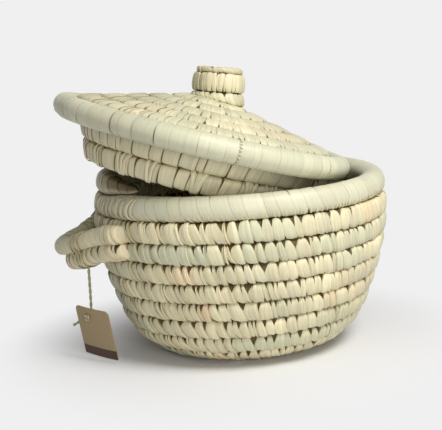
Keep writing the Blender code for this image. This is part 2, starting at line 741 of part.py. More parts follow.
def main():
    clear_scene()
    straw = make_material("straw", (0.74, 0.68, 0.48), 0.62)
    pale_straw = make_material("pale_straw", (0.80, 0.76, 0.58), 0.5)
    grass = make_material("grass", (0.55, 0.47, 0.28), 0.8)
    kraft = make_material("kraft", (0.42, 0.32, 0.20), 0.85)
    twine = make_material("twine", (0.72, 0.64, 0.48), 0.85)

    build_bowl(straw, pale_straw, grass)
    build_handle(straw, pale_straw, grass)
    tip = (Matrix.Rotation(-LID_PITCH, 4, "X") @ Matrix.Rotation(LID_TILT, 4, "Y"))
    lid = add_empty("lid_frame", Matrix.Translation((LID_SLIDE_X, LID_SLIDE_Y, 0.0)) @ tip)
    build_lid(lid, straw, pale_straw, grass)
    build_knob(lid, straw, grass)
    seat_lid(lid)
    build_tag(kraft, twine)


if __name__ == "__main__":
    main()
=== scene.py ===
"""Looks of a coiled straw storage basket: leaf-wrapped coils, a lid with a knob, and a hang tag."""

import math

import bmesh
import bpy
import numpy as np
from bpy.props import FloatProperty, FloatVectorProperty, PointerProperty
from bpy.types import Operator, Panel, PropertyGroup
from mathutils import Matrix, Vector


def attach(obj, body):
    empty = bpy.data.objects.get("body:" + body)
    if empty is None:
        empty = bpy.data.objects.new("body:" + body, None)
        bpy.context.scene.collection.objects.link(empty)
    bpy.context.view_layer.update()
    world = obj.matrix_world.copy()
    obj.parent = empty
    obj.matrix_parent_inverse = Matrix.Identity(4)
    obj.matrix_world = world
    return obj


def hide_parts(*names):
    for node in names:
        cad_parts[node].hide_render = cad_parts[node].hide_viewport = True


bl_info = {
    "name": "Coiled Straw Basket",
    "version": (1, 0, 0),
    "blender": (4, 5, 0),
    "location": "View3D > Sidebar > Basket",
    "description": "Wraps the coils of a straw basket, its handle, lid and knob, and hangs its tag",
    "category": "Object",
}

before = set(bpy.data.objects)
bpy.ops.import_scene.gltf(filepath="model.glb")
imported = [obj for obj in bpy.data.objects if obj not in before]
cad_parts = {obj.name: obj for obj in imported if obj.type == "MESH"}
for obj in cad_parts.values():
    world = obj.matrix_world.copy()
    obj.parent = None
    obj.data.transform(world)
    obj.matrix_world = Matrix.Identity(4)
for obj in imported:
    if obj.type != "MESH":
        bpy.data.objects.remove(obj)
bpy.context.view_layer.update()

FULL_TURN = 2.0 * math.pi

# Sizes of the solids, repeated from the part's source
TURN_GAP = 0.0005
PIECE_GAP = 0.0003
COIL_HEIGHT = 0.0181
COIL_DEPTH = 0.0190
COIL_PITCH = COIL_HEIGHT + TURN_GAP
BOWL_TURNS = 12.0 + 2.0 / 3.0
BASE_END_TURN = 4.375
LOWER_WALL_END_TURN = 8.375
COIL_START_ANGLE = math.radians(-45.0)
BOWL_ARCS = ((0.0627, 0.0), (0.0529 * math.radians(65.0), math.radians(65.0)),
             (0.0962, math.radians(85.5)), (COIL_PITCH, math.radians(102.4)))
RIM_HEIGHT = 0.0226
RIM_DEPTH = 0.0230
RIM_OVERLAP = math.radians(30.0)
RIM_SWELL = math.radians(30.0)
RIM_TIP_HEIGHT = 0.0090
HANDLE_START_ANGLE = math.radians(165.0)
HANDLE_SPAN = math.radians(54.0)
HANDLE_UPPER_BULGE = 0.0252
HANDLE_LOWER_BULGE = 0.0167
HANDLE_SKEW = 0.69
HANDLE_BULGE_POWER = 3.0
HANDLE_DROP_POWER = 1.6
HANDLE_COIL_HEIGHT = 0.0158
HANDLE_COIL_DEPTH = 0.0162
HANDLE_TIP_DEPTH = 0.0110
HANDLE_UPPER_DROP = 0.0224
HANDLE_LOWER_DROP = HANDLE_UPPER_DROP - (COIL_PITCH - HANDLE_COIL_HEIGHT * 0.91)
LID_RADIUS = 0.1359
LID_RIM_WIDTH = 0.0220
LID_RIM_DEPTH = 0.0222
CROWN_SLOPE = math.radians(13.5)
CROWN_PLUG_LENGTH = 0.0155
CROWN_ROWS = 5
CROWN_COIL_DEPTH = 0.0196
CROWN_JOG_START = math.radians(30.0)
CROWN_JOG = math.radians(110.0)
FLANGE_ROWS = 2
FLANGE_PITCH = 0.0205 + TURN_GAP
FLANGE_COIL_DEPTH = 0.0196
FLANGE_LEAN = math.radians(20.0)
FLANGE_JOG_START = math.radians(-45.0)
FLANGE_JOG = math.radians(95.0)
LID_PLACE = (-0.0337, -0.0102, 0.209301)
LID_TILT = math.radians(15.7)
LID_PITCH = math.radians(1.9)
KNOB_LEAN = math.radians(-8.5)
KNOB_OFFSET = 0.0063
KNOB_BARREL_RADIUS = 0.0248
KNOB_BARREL_HEIGHT = 0.0182
KNOB_COLLAR_RADIUS = KNOB_BARREL_RADIUS * 1.09
KNOB_COLLAR_HEIGHT = 0.0080
KNOB_CAP_RADIUS = KNOB_BARREL_RADIUS * 0.90
KNOB_CAP_HEIGHT = 0.0052
KNOB_COIL_DEPTH = 0.0100
TAG_WIDTH = 0.0420
TAG_HEIGHT = 0.0525
TAG_THICKNESS = 0.0010
TAG_CORNER = 0.0045
TAG_HOLE_RADIUS = 0.0020
TAG_HOLE_FROM_LEFT = 0.0153
TAG_HOLE_FROM_TOP = 0.0097
TAG_TURN = math.radians(-37.0)
TAG_LEAN = math.radians(15.0)
TAG_SLANT = math.radians(3.5)
KNOT_DISC = 0.0015
STRING_DIAMETER = 0.0024
STRING_ROUTE = (
    (-0.1460, -0.0620, 0.0937), (-0.1460, -0.0620, 0.0838), (-0.1460, -0.0620, 0.0745),
    (-0.1460, -0.0620, 0.0650), (-0.1460, -0.0623, 0.0555), (-0.1465, -0.0634, 0.0476),
    (-0.1498, -0.0598, 0.0442), (-0.1546, -0.0554, 0.0415), (-0.1606, -0.0505, 0.0376),
    (-0.1665, -0.0460, 0.0336),
)
STRING_AT_HOLE = 5

LID_MATRIX = (Matrix.Translation(LID_PLACE) @ Matrix.Rotation(-LID_PITCH, 4, "X")
              @ Matrix.Rotation(LID_TILT, 4, "Y"))
TAG_MATRIX = (Matrix.Translation(STRING_ROUTE[STRING_AT_HOLE]) @ Matrix.Rotation(TAG_TURN, 4, "Z")
              @ Matrix.Rotation(TAG_LEAN, 4, "X") @ Matrix.Rotation(TAG_SLANT, 4, "Y"))


def smooth_step(share):
    share = np.clip(share, 0.0, 1.0)
    return share * share * (3.0 - 2.0 * share)


def moved(points, matrix):
    """Points taken to where a matrix puts them, or left in place by none."""
    if matrix is None:
        return points
    matrix = np.array(matrix)
    return points @ matrix[:3, :3].T + matrix[:3, 3]


# Where the coils run
def profile_table(reach=0.34, count=1400):
    """Radius, height and angle of the bowl's profile at even lengths from the axis."""
    lengths = np.linspace(0.0, reach, count)
    angles = np.zeros(count)
    start, angle = 0.0, 0.0
    for arc_length, end_angle in BOWL_ARCS:
        inside = lengths >= start
        share = np.clip((lengths[inside] - start) / arc_length, 0.0, 1.0)
        angles[inside] = angle + (end_angle - angle) * share
        start += arc_length
        angle = end_angle
    step = lengths[1]
    middle = (angles[1:] + angles[:-1]) / 2.0
    radii = np.concatenate(([0.0], np.cumsum(np.cos(middle) * step)))
    heights = COIL_DEPTH / 2.0 + np.concatenate(([0.0], np.cumsum(np.sin(middle) * step)))
    return lengths, radii, heights, angles


LENGTHS, RADII, HEIGHTS, ANGLES = profile_table()


def profile_point(length):
    return (np.interp(length, LENGTHS, RADII), np.interp(length, LENGTHS, HEIGHTS),
            np.interp(length, LENGTHS, ANGLES))


def ring_point(radius, azimuth, height):
    return np.stack((radius * np.cos(azimuth), radius * np.sin(azimuth), height + 0.0 * radius), -1)


# Wraps that would reach under the floor are pressed flat within this height above it
FLOOR_PRESS = 0.0008


def place_on_bowl(length, offset, azimuth):
    radius, height, angle = profile_point(length)
    height = height - offset * np.cos(angle)
    pressed = FLOOR_PRESS * np.exp(np.minimum(height / FLOOR_PRESS - 1.0, 0.0))
    return ring_point(radius + offset * np.sin(angle), azimuth, np.maximum(height, pressed))


def bowl_station(turn):
    """The bowl coil at a turn: azimuth, length along the profile, half height and half depth."""
    share = np.minimum(turn, 1.0)
    length = np.where(turn < 1.0, COIL_PITCH * (1.0 + turn) / 2.0, COIL_PITCH * turn)
    half_height = COIL_PITCH * share / 2.0 - TURN_GAP / 2.0
    half_depth = COIL_DEPTH / 2.0 * (0.5 + 0.5 * share)
    return COIL_START_ANGLE + FULL_TURN * turn, length, half_height, half_depth


def rim_station(turn):
    """The rim coil, which lies on the coil one turn below it and ends on its own start."""
    angle = turn * FULL_TURN
    slim, full, tip = COIL_HEIGHT / 2.0, RIM_HEIGHT / 2.0, RIM_TIP_HEIGHT / 2.0

    def half_at(angle):
        swell = slim + (full - slim) * smooth_step(angle / RIM_SWELL)
        fade = full + (tip - full) * smooth_step((angle - FULL_TURN) / RIM_OVERLAP)
        return np.where(angle < FULL_TURN, swell, fade)

    def length_at(angle, half):
        _, below, below_half, _ = bowl_station(BOWL_TURNS - 1.0 + angle / FULL_TURN)
        return below + below_half + TURN_GAP + half

    half = half_at(angle)
    first_lap = length_at(angle, half)
    under = angle - FULL_TURN
    under_half = half_at(under)
    second_lap = length_at(under, under_half) + under_half + TURN_GAP + half
    length = np.where(angle < FULL_TURN, first_lap, second_lap)
    azimuth = COIL_START_ANGLE + FULL_TURN * BOWL_TURNS + angle
    return azimuth, length, half, half * RIM_DEPTH / RIM_HEIGHT


# Beyond its two ends, each handle coil dives this far into the wall and thins by a share. Its
# dressed section is never thinner than the least half depth, and swells towards its ends
HANDLE_DIVE = 0.0125
HANDLE_DIVE_SPAN = 0.10
HANDLE_THINNING = 0.35
HANDLE_LEAST_HALF_DEPTH = 0.0076
HANDLE_SWELL_RATE = 2.4


def handle_half_depth(share):
    fullness = smooth_step(4.0 * np.minimum(share, 1.0 - share))
    return (HANDLE_TIP_DEPTH + (HANDLE_COIL_DEPTH - HANDLE_TIP_DEPTH) * fullness) / 2.0


def handle_beyond(share):
    return np.clip(np.maximum(-share, share - 1.0) / HANDLE_DIVE_SPAN, 0.0, 1.0)


def handle_place(row, bulge, drop):
    """Placing function of the handle coil that follows a row of the wall."""
    def place(along, out, azimuth):
        share = (azimuth - HANDLE_START_ANGLE) / HANDLE_SPAN
        wave = np.maximum(np.sin(math.pi * np.clip(share, 0.0, 1.0) ** HANDLE_SKEW), 0.0)
        swing = wave ** HANDLE_BULGE_POWER
        sag = wave ** HANDLE_DROP_POWER
        turn = row + (azimuth - COIL_START_ANGLE) / FULL_TURN
        radius, height, angle = profile_point(COIL_PITCH * turn)
        radius = radius + COIL_DEPTH / 2.0 * np.sin(angle) + PIECE_GAP
        radius = radius + handle_half_depth(share) + out + bulge * swing
        radius = radius - HANDLE_DIVE * smooth_step(handle_beyond(share))
        height = height + along - COIL_DEPTH / 2.0 * np.cos(angle) - drop * sag
        return ring_point(radius, azimuth, height)
    return place


def handle_station(swell, close):
    """Towards the wall a handle coil is fuller than its solid; close fills the groove between."""
    def station(turn):
        half_depth = np.maximum(handle_half_depth(turn), HANDLE_LEAST_HALF_DEPTH)
        half_depth = half_depth * (1.0 - HANDLE_THINNING * handle_beyond(turn))
        near_end = smooth_step(1.0 - HANDLE_SWELL_RATE * np.minimum(turn, 1.0 - turn))
        root = swell * near_end + abs(close) / 2.0
        half_height = half_depth * HANDLE_COIL_HEIGHT / HANDLE_COIL_DEPTH + root
        middle = math.copysign(1.0, close) * root
        return HANDLE_START_ANGLE + HANDLE_SPAN * turn, middle, half_height, half_depth
    return station


# Where one row steps down to the next, a coil's share of its full section falls to this at least
LEAST_FULLNESS = 0.05


def row_station(first, pitch, rows, jog_start, jog, depth):
    """Stations of a coil that fills a band of rows: round rings with a step between rows."""
    jog_share = jog / FULL_TURN

    def steps(turn):
        whole = np.floor(turn)
        rise = whole + smooth_step((turn - whole) / jog_share)
        return np.where(turn <= 0.0, 0.0, np.minimum(rise, float(rows)))

    def station(turn):
        inner, outer = steps(turn - 1.0), steps(turn)
        fullness = np.maximum(outer - inner, LEAST_FULLNESS)
        half_height = (pitch * fullness - TURN_GAP) / 2.0
        half_depth = depth / 2.0 * (0.5 + 0.5 * fullness)
        length = first + pitch * (inner + outer) / 2.0
        return jog_start + FULL_TURN * turn, length, half_height, half_depth
    return station


def ring_station(start, length, half_height, half_depth):
    def station(turn):
        same = 0.0 * turn
        return start + FULL_TURN * turn, length + same, half_height + same, half_depth + same
    return station


def place_on_crown(length, offset, azimuth):
    radius = length * math.cos(CROWN_SLOPE) + offset * math.sin(CROWN_SLOPE)
    height = (LID_RADIUS * math.tan(CROWN_SLOPE) - length * math.sin(CROWN_SLOPE)
              + offset * math.cos(CROWN_SLOPE))
    return ring_point(radius, azimuth, height)


LID_RIM_LENGTH = LID_RADIUS / math.cos(CROWN_SLOPE)
CROWN_END = LID_RIM_LENGTH - LID_RIM_WIDTH / 2.0 - PIECE_GAP
CROWN_PITCH = (CROWN_END - CROWN_PLUG_LENGTH) / CROWN_ROWS
OUTER_ROW = CROWN_END - CROWN_PITCH / 2.0
INNER_ROW = CROWN_PLUG_LENGTH + CROWN_PITCH / 2.0


def place_on_flange(length, offset, azimuth):
    seat = place_on_crown(np.array(OUTER_ROW), -CROWN_COIL_DEPTH / 2.0, 0.0)
    down = length + PIECE_GAP
    radius = seat[0] - down * math.sin(FLANGE_LEAN) + offset * math.cos(FLANGE_LEAN)
    height = seat[2] - down * math.cos(FLANGE_LEAN) - offset * math.sin(FLANGE_LEAN)
    return ring_point(radius, azimuth, height)


def knob_foot_height():
    crest = place_on_crown(np.array(INNER_ROW), CROWN_COIL_DEPTH / 2.0, 0.0)
    corner = place_on_crown(np.array(CROWN_PLUG_LENGTH), CROWN_COIL_DEPTH / 4.0, 0.0)
    share = (KNOB_OFFSET + KNOB_COLLAR_RADIUS - corner[0]) / (crest[0] - corner[0])
    return float(corner[2] + (crest[2] - corner[2]) * min(share, 1.0)) + PIECE_GAP


KNOB_MATRIX = (LID_MATRIX @ Matrix.Translation((KNOB_OFFSET, 0.0, knob_foot_height()))
               @ Matrix.Rotation(KNOB_LEAN, 4, "Y"))


def place_on_collar(height, out, azimuth):
    """A point of the knob's collar, in the knob's frame: its foot is flat on the lid."""
    lean = Matrix.Rotation(-KNOB_LEAN, 3, "Y")
    foot_radius = KNOB_COLLAR_RADIUS - KNOB_COIL_DEPTH / 2.0 + out
    foot = ring_point(foot_radius, azimuth, 0.0) @ np.array(lean.transposed())
    top_radius = KNOB_BARREL_RADIUS - KNOB_COIL_DEPTH / 2.0 + out
    top = ring_point(top_radius, azimuth, KNOB_COLLAR_HEIGHT)
    share = np.asarray(height / KNOB_COLLAR_HEIGHT)[..., None]
    return foot + (top - foot) * share


def knob_place(outer_radius):
    def place(height, out, azimuth):
        return ring_point(outer_radius - KNOB_COIL_DEPTH / 2.0 + out, azimuth, height)
    return place


# The barrel's swell, less what it draws in all over, and where on its height it is widest
BARREL_SWELL = 0.0011
BARREL_DRAW = 0.0004
BARREL_WIDEST = 0.36
BARREL_SWELL_RATE = 2.4


def place_on_barrel(height, out, azimuth):
    """The barrel swells a little below its middle and draws in at its top."""
    share = (height - KNOB_COLLAR_HEIGHT) / KNOB_BARREL_HEIGHT
    swell = BARREL_SWELL * np.cos(BARREL_SWELL_RATE * (share - BARREL_WIDEST)) - BARREL_DRAW
    return ring_point(KNOB_BARREL_RADIUS - KNOB_COIL_DEPTH / 2.0 + out + swell, azimuth, height)


def section(theta, squareness):
    """Shares of a coil's half height and half depth: theta is 90 degrees at the top of the row."""
    up, out = np.sin(theta), np.cos(theta)
    return (np.sign(up) * np.abs(up) ** squareness, np.sign(out) * np.abs(out) ** squareness)


STATIONS_PER_TURN = 240
LEAST_STATIONS = 120
# A blunt end closes to this share of a half circle, and normals are read this far off the skin
BLUNT_CLOSE = 0.97
NORMAL_STEP = 0.001


class Course:
    """A wound coil: its centre line and section at any turn, and turns by distance along it."""

    def __init__(self, place, station, first, last, squareness, matrix=None, blunt=(0.0, 0.0)):
        self.place = place
        self.station = station
        self.squareness = squareness
        self.blunt = blunt
        self.matrix = matrix
        count = max(LEAST_STATIONS, int((last - first) * STATIONS_PER_TURN))
        self.turns = np.linspace(first, last, count)
        azimuth, length, _, _ = station(self.turns)
        points = place(length, 0.0 * length, azimuth)
        steps = np.linalg.norm(np.diff(points, axis=0), axis=1)
        self.distances = np.concatenate(([0.0], np.cumsum(steps)))
        self.reach = self.distances[-1]

    def distance_at(self, azimuth):
        """Distance along the coil's first lap to an azimuth."""
        start = self.station(self.turns[0])[0]
        turn = self.turns[0] + ((azimuth - start) % FULL_TURN) / FULL_TURN
        return float(np.interp(turn, self.turns, self.distances))

    def points(self, distance, up, out, lift):
        """Points of the skin at shares of the half height and half depth."""
        turn = np.interp(distance, self.distances, self.turns)
        azimuth, length, high, deep = self.station(turn)
        for blunt, from_end in zip(self.blunt, (distance, self.reach - distance)):
            if blunt:
                share = np.clip(1.0 - from_end / blunt, 0.0, BLUNT_CLOSE)
                high = high * np.sqrt(1.0 - share ** 2)
                deep = deep * np.sqrt(1.0 - share ** 2)
        placed = self.place(length + (high + lift) * up, (deep + lift) * out, azimuth)
        return moved(placed, self.matrix)

    def skin(self, distance, theta, lift):
        """Points and outward directions of the skin at angles round the section."""
        up, out = section(theta, self.squareness)
        points = self.points(distance, up, out, lift)
        normals = self.points(distance, up, out, lift + NORMAL_STEP) - points
        return points, normals / np.linalg.norm(normals, axis=-1, keepdims=True)


# Meshes: every piece is a set of like bands, each a row of rings
def band_faces(bands, along, around, closed):
    steps = along if closed else along - 1
    j, i = np.meshgrid(np.arange(steps), np.arange(around), indexing="ij")
    j2, i2 = (j + 1) % along, (i + 1) % around
    one = np.stack((j * around + i, j2 * around + i, j2 * around + i2, j * around + i2), -1)
    starts = np.arange(bands) * along * around
    faces = (one.reshape(-1, 4)[None] + starts[:, None, None]).reshape(-1, 4).tolist()
    if not closed:
        last = (along - 1) * around
        faces += [[s + k for k in range(around)][::-1] for s in starts.tolist()]
        faces += [[s + last + k for k in range(around)] for s in starts.tolist()]
    return faces


# In the unit square: the margin of a band's cell, and the radius and height of the dots of its ends
CELL_MARGIN = 0.08
DOT_RADIUS = 0.03
DOT_HEIGHT = 0.04


def band_uv(bands, along, around, closed):
    """A cell of the unit square for each band, its long way upright, and one dot for its ends."""
    steps = along if closed else along - 1
    columns = max(1, math.ceil(math.sqrt(bands * max(1.0, steps / around))))
    rows = math.ceil(bands / columns)
    band = np.arange(bands)
    left, low = (band % columns) / columns, (band // columns) / rows
    j, i = np.meshgrid(np.arange(steps), np.arange(around), indexing="ij")
    corners_i = np.stack((i, i, i + 1, i + 1), -1).reshape(-1)
    corners_j = np.stack((j, j + 1, j + 1, j), -1).reshape(-1)
    inner = 1.0 - 2.0 * CELL_MARGIN
    u = left[:, None] + (CELL_MARGIN + inner * corners_i / around)[None] / columns
    v = low[:, None] + (CELL_MARGIN + inner * corners_j / steps)[None] / rows
    uv = [np.stack((u, v), -1).reshape(-1, 2)]
    if not closed:
        turn = FULL_TURN * np.arange(around) / around
        for way, height in ((-1.0, DOT_HEIGHT), (1.0, 1.0 - DOT_HEIGHT)):
            u = left[:, None] + (0.5 + DOT_RADIUS * np.cos(turn))[None] / columns
            v = low[:, None] + (height + DOT_RADIUS * way * np.sin(turn))[None] / rows
            uv.append(np.stack((u, v), -1).reshape(-1, 2))
    return np.concatenate(uv)


# Edges sharper than this, in degrees, aren't shaded smooth
SHARP_FOLD = 55.0
SHARP_CARD = 40.0


def make_bands(name, rings, closed, material, body, nodes, values):
    """A piece on its body from rings of points, an array of bands, rings and points round each."""
    bands, along, around = rings.shape[:3]
    mesh = bpy.data.meshes.new(name)
    mesh.from_pydata(rings.reshape(-1, 3).tolist(), [], band_faces(bands, along, around, closed))
    layer = mesh.uv_layers.new(name="OFBake")
    layer.uv.foreach_set("vector",
                         band_uv(bands, along, around, closed).astype(np.float32).ravel())
    for key, value in values.items():
        attribute = mesh.attributes.new(key, "FLOAT_VECTOR", "POINT")
        attribute.data.foreach_set("vector", np.asarray(value, dtype=np.float32).ravel())
    return finish_piece(name, mesh, material, body, nodes, SHARP_FOLD)


def finish_piece(name, mesh, material, body, nodes, sharp):
    bm = bmesh.new()
    bm.from_mesh(mesh)
    bmesh.ops.recalc_face_normals(bm, faces=bm.faces)
    bm.to_mesh(mesh)
    bm.free()
    mesh.materials.append(material)
    mesh.shade_smooth()
    mesh.set_sharp_from_angle(angle=math.radians(sharp))
    piece = bpy.data.objects.new(name, mesh)
    bpy.context.collection.objects.link(piece)
    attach(piece, body)
    if nodes:
        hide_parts(*nodes)
    return piece


# How a coil is wrapped. Lengths are in metres, shares are of a strip's half width, and heights
# run from -1 at the foot of a row to 1 at its top.
# spread, slim_chance, slim_share: how widths vary, how many strips are slim and how slim
# overlap: how far a strip lies over the next
# notch_start, notch_chance, tip: where a strip starts to draw in towards its top, how many do, and
# how wide the narrowest tip is; foot_start, foot_chance and foot: the same towards its foot
# slant, lean: how far all strips slant along the coil, and how far each leans by itself
# crown, crease, tilt: how far the middle rises, how uneven it is, and how far one side rises
# dip_top, dip_foot, reach_top, reach_foot: how deep the ends sink, and how far they reach over
# shade_top, shade_foot, edge, hue: the painted shade of its ends in the grooves and of its edges,
# and how its tone varies
WALL_WRAP = {
    "spread": 0.0021, "slim_chance": 0.28, "slim_share": 0.42, "overlap": 0.07,
    "notch_start": 0.10, "notch_chance": 0.95, "tip": 0.28, "foot_start": 0.36,
    "foot_chance": 0.55, "foot": 0.64, "slant": 0.0023, "lean": 0.38, "crown": 0.00060,
    "crease": 0.00028, "tilt": 0.00038, "dip_top": 0.0006, "dip_foot": 0.0006,
    "shade_top": 1.0, "shade_foot": 1.0, "reach_top": 0.15, "reach_foot": 0.10, "edge": 0.7,
    "hue": 0.16,
}
RIM_WRAP = {
    **WALL_WRAP, "spread": 0.0020, "slim_chance": 0.08, "slim_share": 0.5, "overlap": 0.08,
    "notch_chance": 0.0, "foot_start": 0.62, "foot_chance": 0.6, "foot": 0.80, "slant": 0.0030,
    "lean": 0.0, "crown": 0.00012, "crease": 0.00003, "tilt": 0.00016, "dip_top": 0.0,
    "dip_foot": 0.0006, "shade_top": 0.0, "shade_foot": 0.8, "reach_top": 0.0, "reach_foot": 0.06,
    "edge": 0.9, "hue": 0.08,
}
LID_RIM_WRAP = {**RIM_WRAP, "foot_chance": 0.1, "foot_start": 0.8, "slant": 0.0028,
                "crown": 0.00008, "tilt": 0.00011, "shade_foot": 0.5, "edge": 0.6, "hue": 0.06,
                "reach_foot": 0.0}
HANDLE_UPPER_WRAP = {**RIM_WRAP, "spread": 0.0026, "slim_chance": 0.2, "foot_chance": 0.2,
                     "shade_foot": 0.4, "slant": 0.0022, "hue": 0.06, "edge": 0.6}
HANDLE_LOWER_WRAP = {
    **WALL_WRAP, "spread": 0.0012, "slim_chance": 0.06, "overlap": 0.04, "notch_start": -0.45,
    "notch_chance": 1.0, "tip": 0.12, "foot_chance": 0.0, "slant": 0.0042, "lean": 0.15,
    "crown": 0.0009, "dip_top": 0.0003, "dip_foot": 0.0, "shade_foot": 0.2, "reach_top": 0.3,
    "reach_foot": 0.0, "hue": 0.08,
}
CROWN_WRAP = {
    **WALL_WRAP, "spread": 0.0036, "slim_chance": 0.26, "slim_share": 0.42, "overlap": 0.0,
    "notch_start": 0.45, "notch_chance": 0.5, "tip": 0.62, "foot_start": 0.40,
    "foot_chance": 0.45, "foot": 0.62, "slant": 0.0005, "lean": 0.1, "crown": 0.00022,
    "crease": 0.00008, "tilt": 0.00024, "dip_top": 0.0004, "dip_foot": 0.0006,
    "shade_top": 0.7, "shade_foot": 0.9, "reach_top": 0.03, "reach_foot": 0.05, "edge": 0.95,
    "hue": 0.07,
}
FLANGE_WRAP = {
    **CROWN_WRAP, "spread": 0.0034, "slim_chance": 0.22, "overlap": -0.05, "notch_start": 0.6,
    "notch_chance": 0.2, "tip": 0.8, "foot_start": 0.55, "foot_chance": 0.25, "foot": 0.7,
    "slant": 0.0012, "tilt": 0.00030, "dip_top": 0.0, "dip_foot": 0.0006, "shade_top": 0.2,
    "hue": 0.09,
}
BARREL_WRAP = {
    **WALL_WRAP, "spread": 0.0012, "slim_chance": 0.2, "notch_start": 0.45, "notch_chance": 0.5,
    "tip": 0.70, "foot_start": -0.2, "foot_chance": 0.8, "foot": 0.58, "slant": 0.0006,
    "crown": 0.00036, "crease": 0.00016, "dip_top": 0.0002, "dip_foot": 0.0012,
    "reach_top": 0.06, "reach_foot": 0.10, "edge": 0.7, "hue": 0.05,
}
CAP_WRAP = {**BARREL_WRAP, "notch_chance": 0.0, "foot_start": 0.2, "foot_chance": 0.6,
            "foot": 0.7, "crown": 0.0002, "dip_top": 0.0, "dip_foot": 0.0005, "shade_top": 0.0,
            "slant": 0.0012}
COLLAR_WRAP = {**BARREL_WRAP, "notch_start": -0.4, "notch_chance": 0.9, "tip": 0.5,
               "foot_start": 0.8, "foot_chance": 0.3, "foot": 0.8, "crown": 0.0003,
               "dip_foot": 0.0004, "reach_foot": 0.16, "slant": 0.0016}

# Section of a coil, from 1, round, to near 0, square
SQUARE_WALL = 0.60
SQUARE_RIM = 0.88
SQUARE_HANDLE_UPPER = 0.92
SQUARE_HANDLE_LOWER = 0.85
SQUARE_LID_ROWS = 0.56
SQUARE_LID_RIM = 0.95

# Heights of the points on the outer and the inner side of a strip, and shares across it
OUTER_HEIGHTS = (1.0, 0.985, 0.94, 0.86, 0.74, 0.58, 0.36, 0.05, -0.30, -0.62, -0.84, -0.95, -1.0)
INNER_HEIGHTS = (-0.90, -0.50, 0.0, 0.50, 0.90)
ACROSS = np.array([-1.0, -1.0, -0.88, -0.45, 0.0, 0.45, 0.88, 1.0, 1.0])
AT_EDGE = np.abs(ACROSS) > 0.99
TUCKED = np.array([1.0, 0.0, 0.0, 0.0, 0.0, 0.0, 0.0, 0.0, 1.0])
TUCK_DEPTH = 0.0022

# Widths of the slim strips round their mean, and the least share of the mean width
SLIM_WIDTHS = (0.75, 1.35)
LEAST_WIDTH = 0.3

# Where strips draw in: how deep a drawn and a plain border goes, how its start varies and is
# bounded, how it curves, and the most that one end and both take from a half width
DRAWN_DEPTHS = (0.35, 1.0)
PLAIN_DEPTHS = (0.0, 0.18)
DRAW_START_SPREAD = 0.12
DRAW_START_LIMITS = (-0.6, 0.93)
DRAW_POWER = 1.5
MOST_DRAWN = 0.86
MOST_DRAWN_BOTH = 0.88

# How strips slant: the spread of the slant, its curve down the row, and the share of a lean
SLANT_SPREAD = 0.25
SLANT_CURVE = 0.5
SLANT_START = 0.6
LEAN_SHARE = 0.6

# How their faces stand: mean and spread of the tilt, and shares of a crease at the edges, for the
# whole strip and from point to point
TILTS = (0.8, 0.5)
CREASE_AT_EDGE = 0.4
CREASE_WHOLE = 0.7
CREASE_POINT = 0.35

# Heights beyond which the ends of a strip sink, and beyond which painted shade darkens them
SINK_FROM = 0.86
DARK_FROM = 0.90

# Tones: how slowly the hue and the level wander, how far the level does, the painted shade of a
# tucked edge, how strongly the painted shade of each edge shows, the spacing of the grain round the
# coil and its places
HUE_HOLD = 0.85
LEVEL_HOLD = 0.35
LEVEL_SPREAD = 0.2
TUCK_SHADE = 0.5
EDGE_SHADE_SPREAD = (0.35, 1.0)
GRAIN_STEP = 0.0030
GRAIN_PLACES = (0.0, 50.0)
MOST_SHADE = 2.0


def girth(squareness):
    """Shares of half height and half depth of the points round a strip, from the row's top."""
    up = np.array(OUTER_HEIGHTS + INNER_HEIGHTS)
    side = np.array([1.0] * len(OUTER_HEIGHTS) + [-1.0] * len(INNER_HEIGHTS))
    out = side * (1.0 - np.abs(up) ** (2.0 / squareness)) ** (squareness / 2.0)
    return up, out


def strip_borders(reach, wrap, width, chance):
    """Distances along a coil at which one strip meets the next."""
    widths = []
    while sum(widths) < reach:
        slim = chance.random() < wrap["slim_chance"]
        drawn = (width * wrap["slim_share"] * chance.uniform(*SLIM_WIDTHS) if slim
                 else chance.normal(width, wrap["spread"]))
        widths.append(max(drawn, LEAST_WIDTH * width))
    borders = np.concatenate(([0.0], np.cumsum(widths)))
    return borders * reach / borders[-1]


def drift(count, chance, hold):
    """Values that wander slowly from strip to strip, as one leaf makes several wraps."""
    values = chance.normal(0.0, 1.0, count)
    for k in range(1, count):
        values[k] = hold * values[k - 1] + math.sqrt(1.0 - hold * hold) * values[k]
    return values


def border_taper(up, start, least, happens, count, chance):
    """How far each border draws in at each height, as a share of the strip's half width."""
    depth = np.where(chance.random(count) < happens, chance.uniform(*DRAWN_DEPTHS, count),
                     chance.uniform(*PLAIN_DEPTHS, count))
    begin = start + chance.normal(0.0, DRAW_START_SPREAD, count)
    begin = np.clip(begin, *DRAW_START_LIMITS)[:, None]
    share = np.clip((up[None] - begin) / (1.0 - begin), 0.0, 1.0) ** DRAW_POWER
    return np.clip((1.0 - least) * depth[:, None] * share, 0.0, MOST_DRAWN)


def near_ends(up, start, top, foot):
    """Rises from 0 at a height to one value at a row's top, and to another at its foot."""
    return (top * smooth_step((up - start) / (1.0 - start))
            + foot * smooth_step((-up - start) / (1.0 - start)))


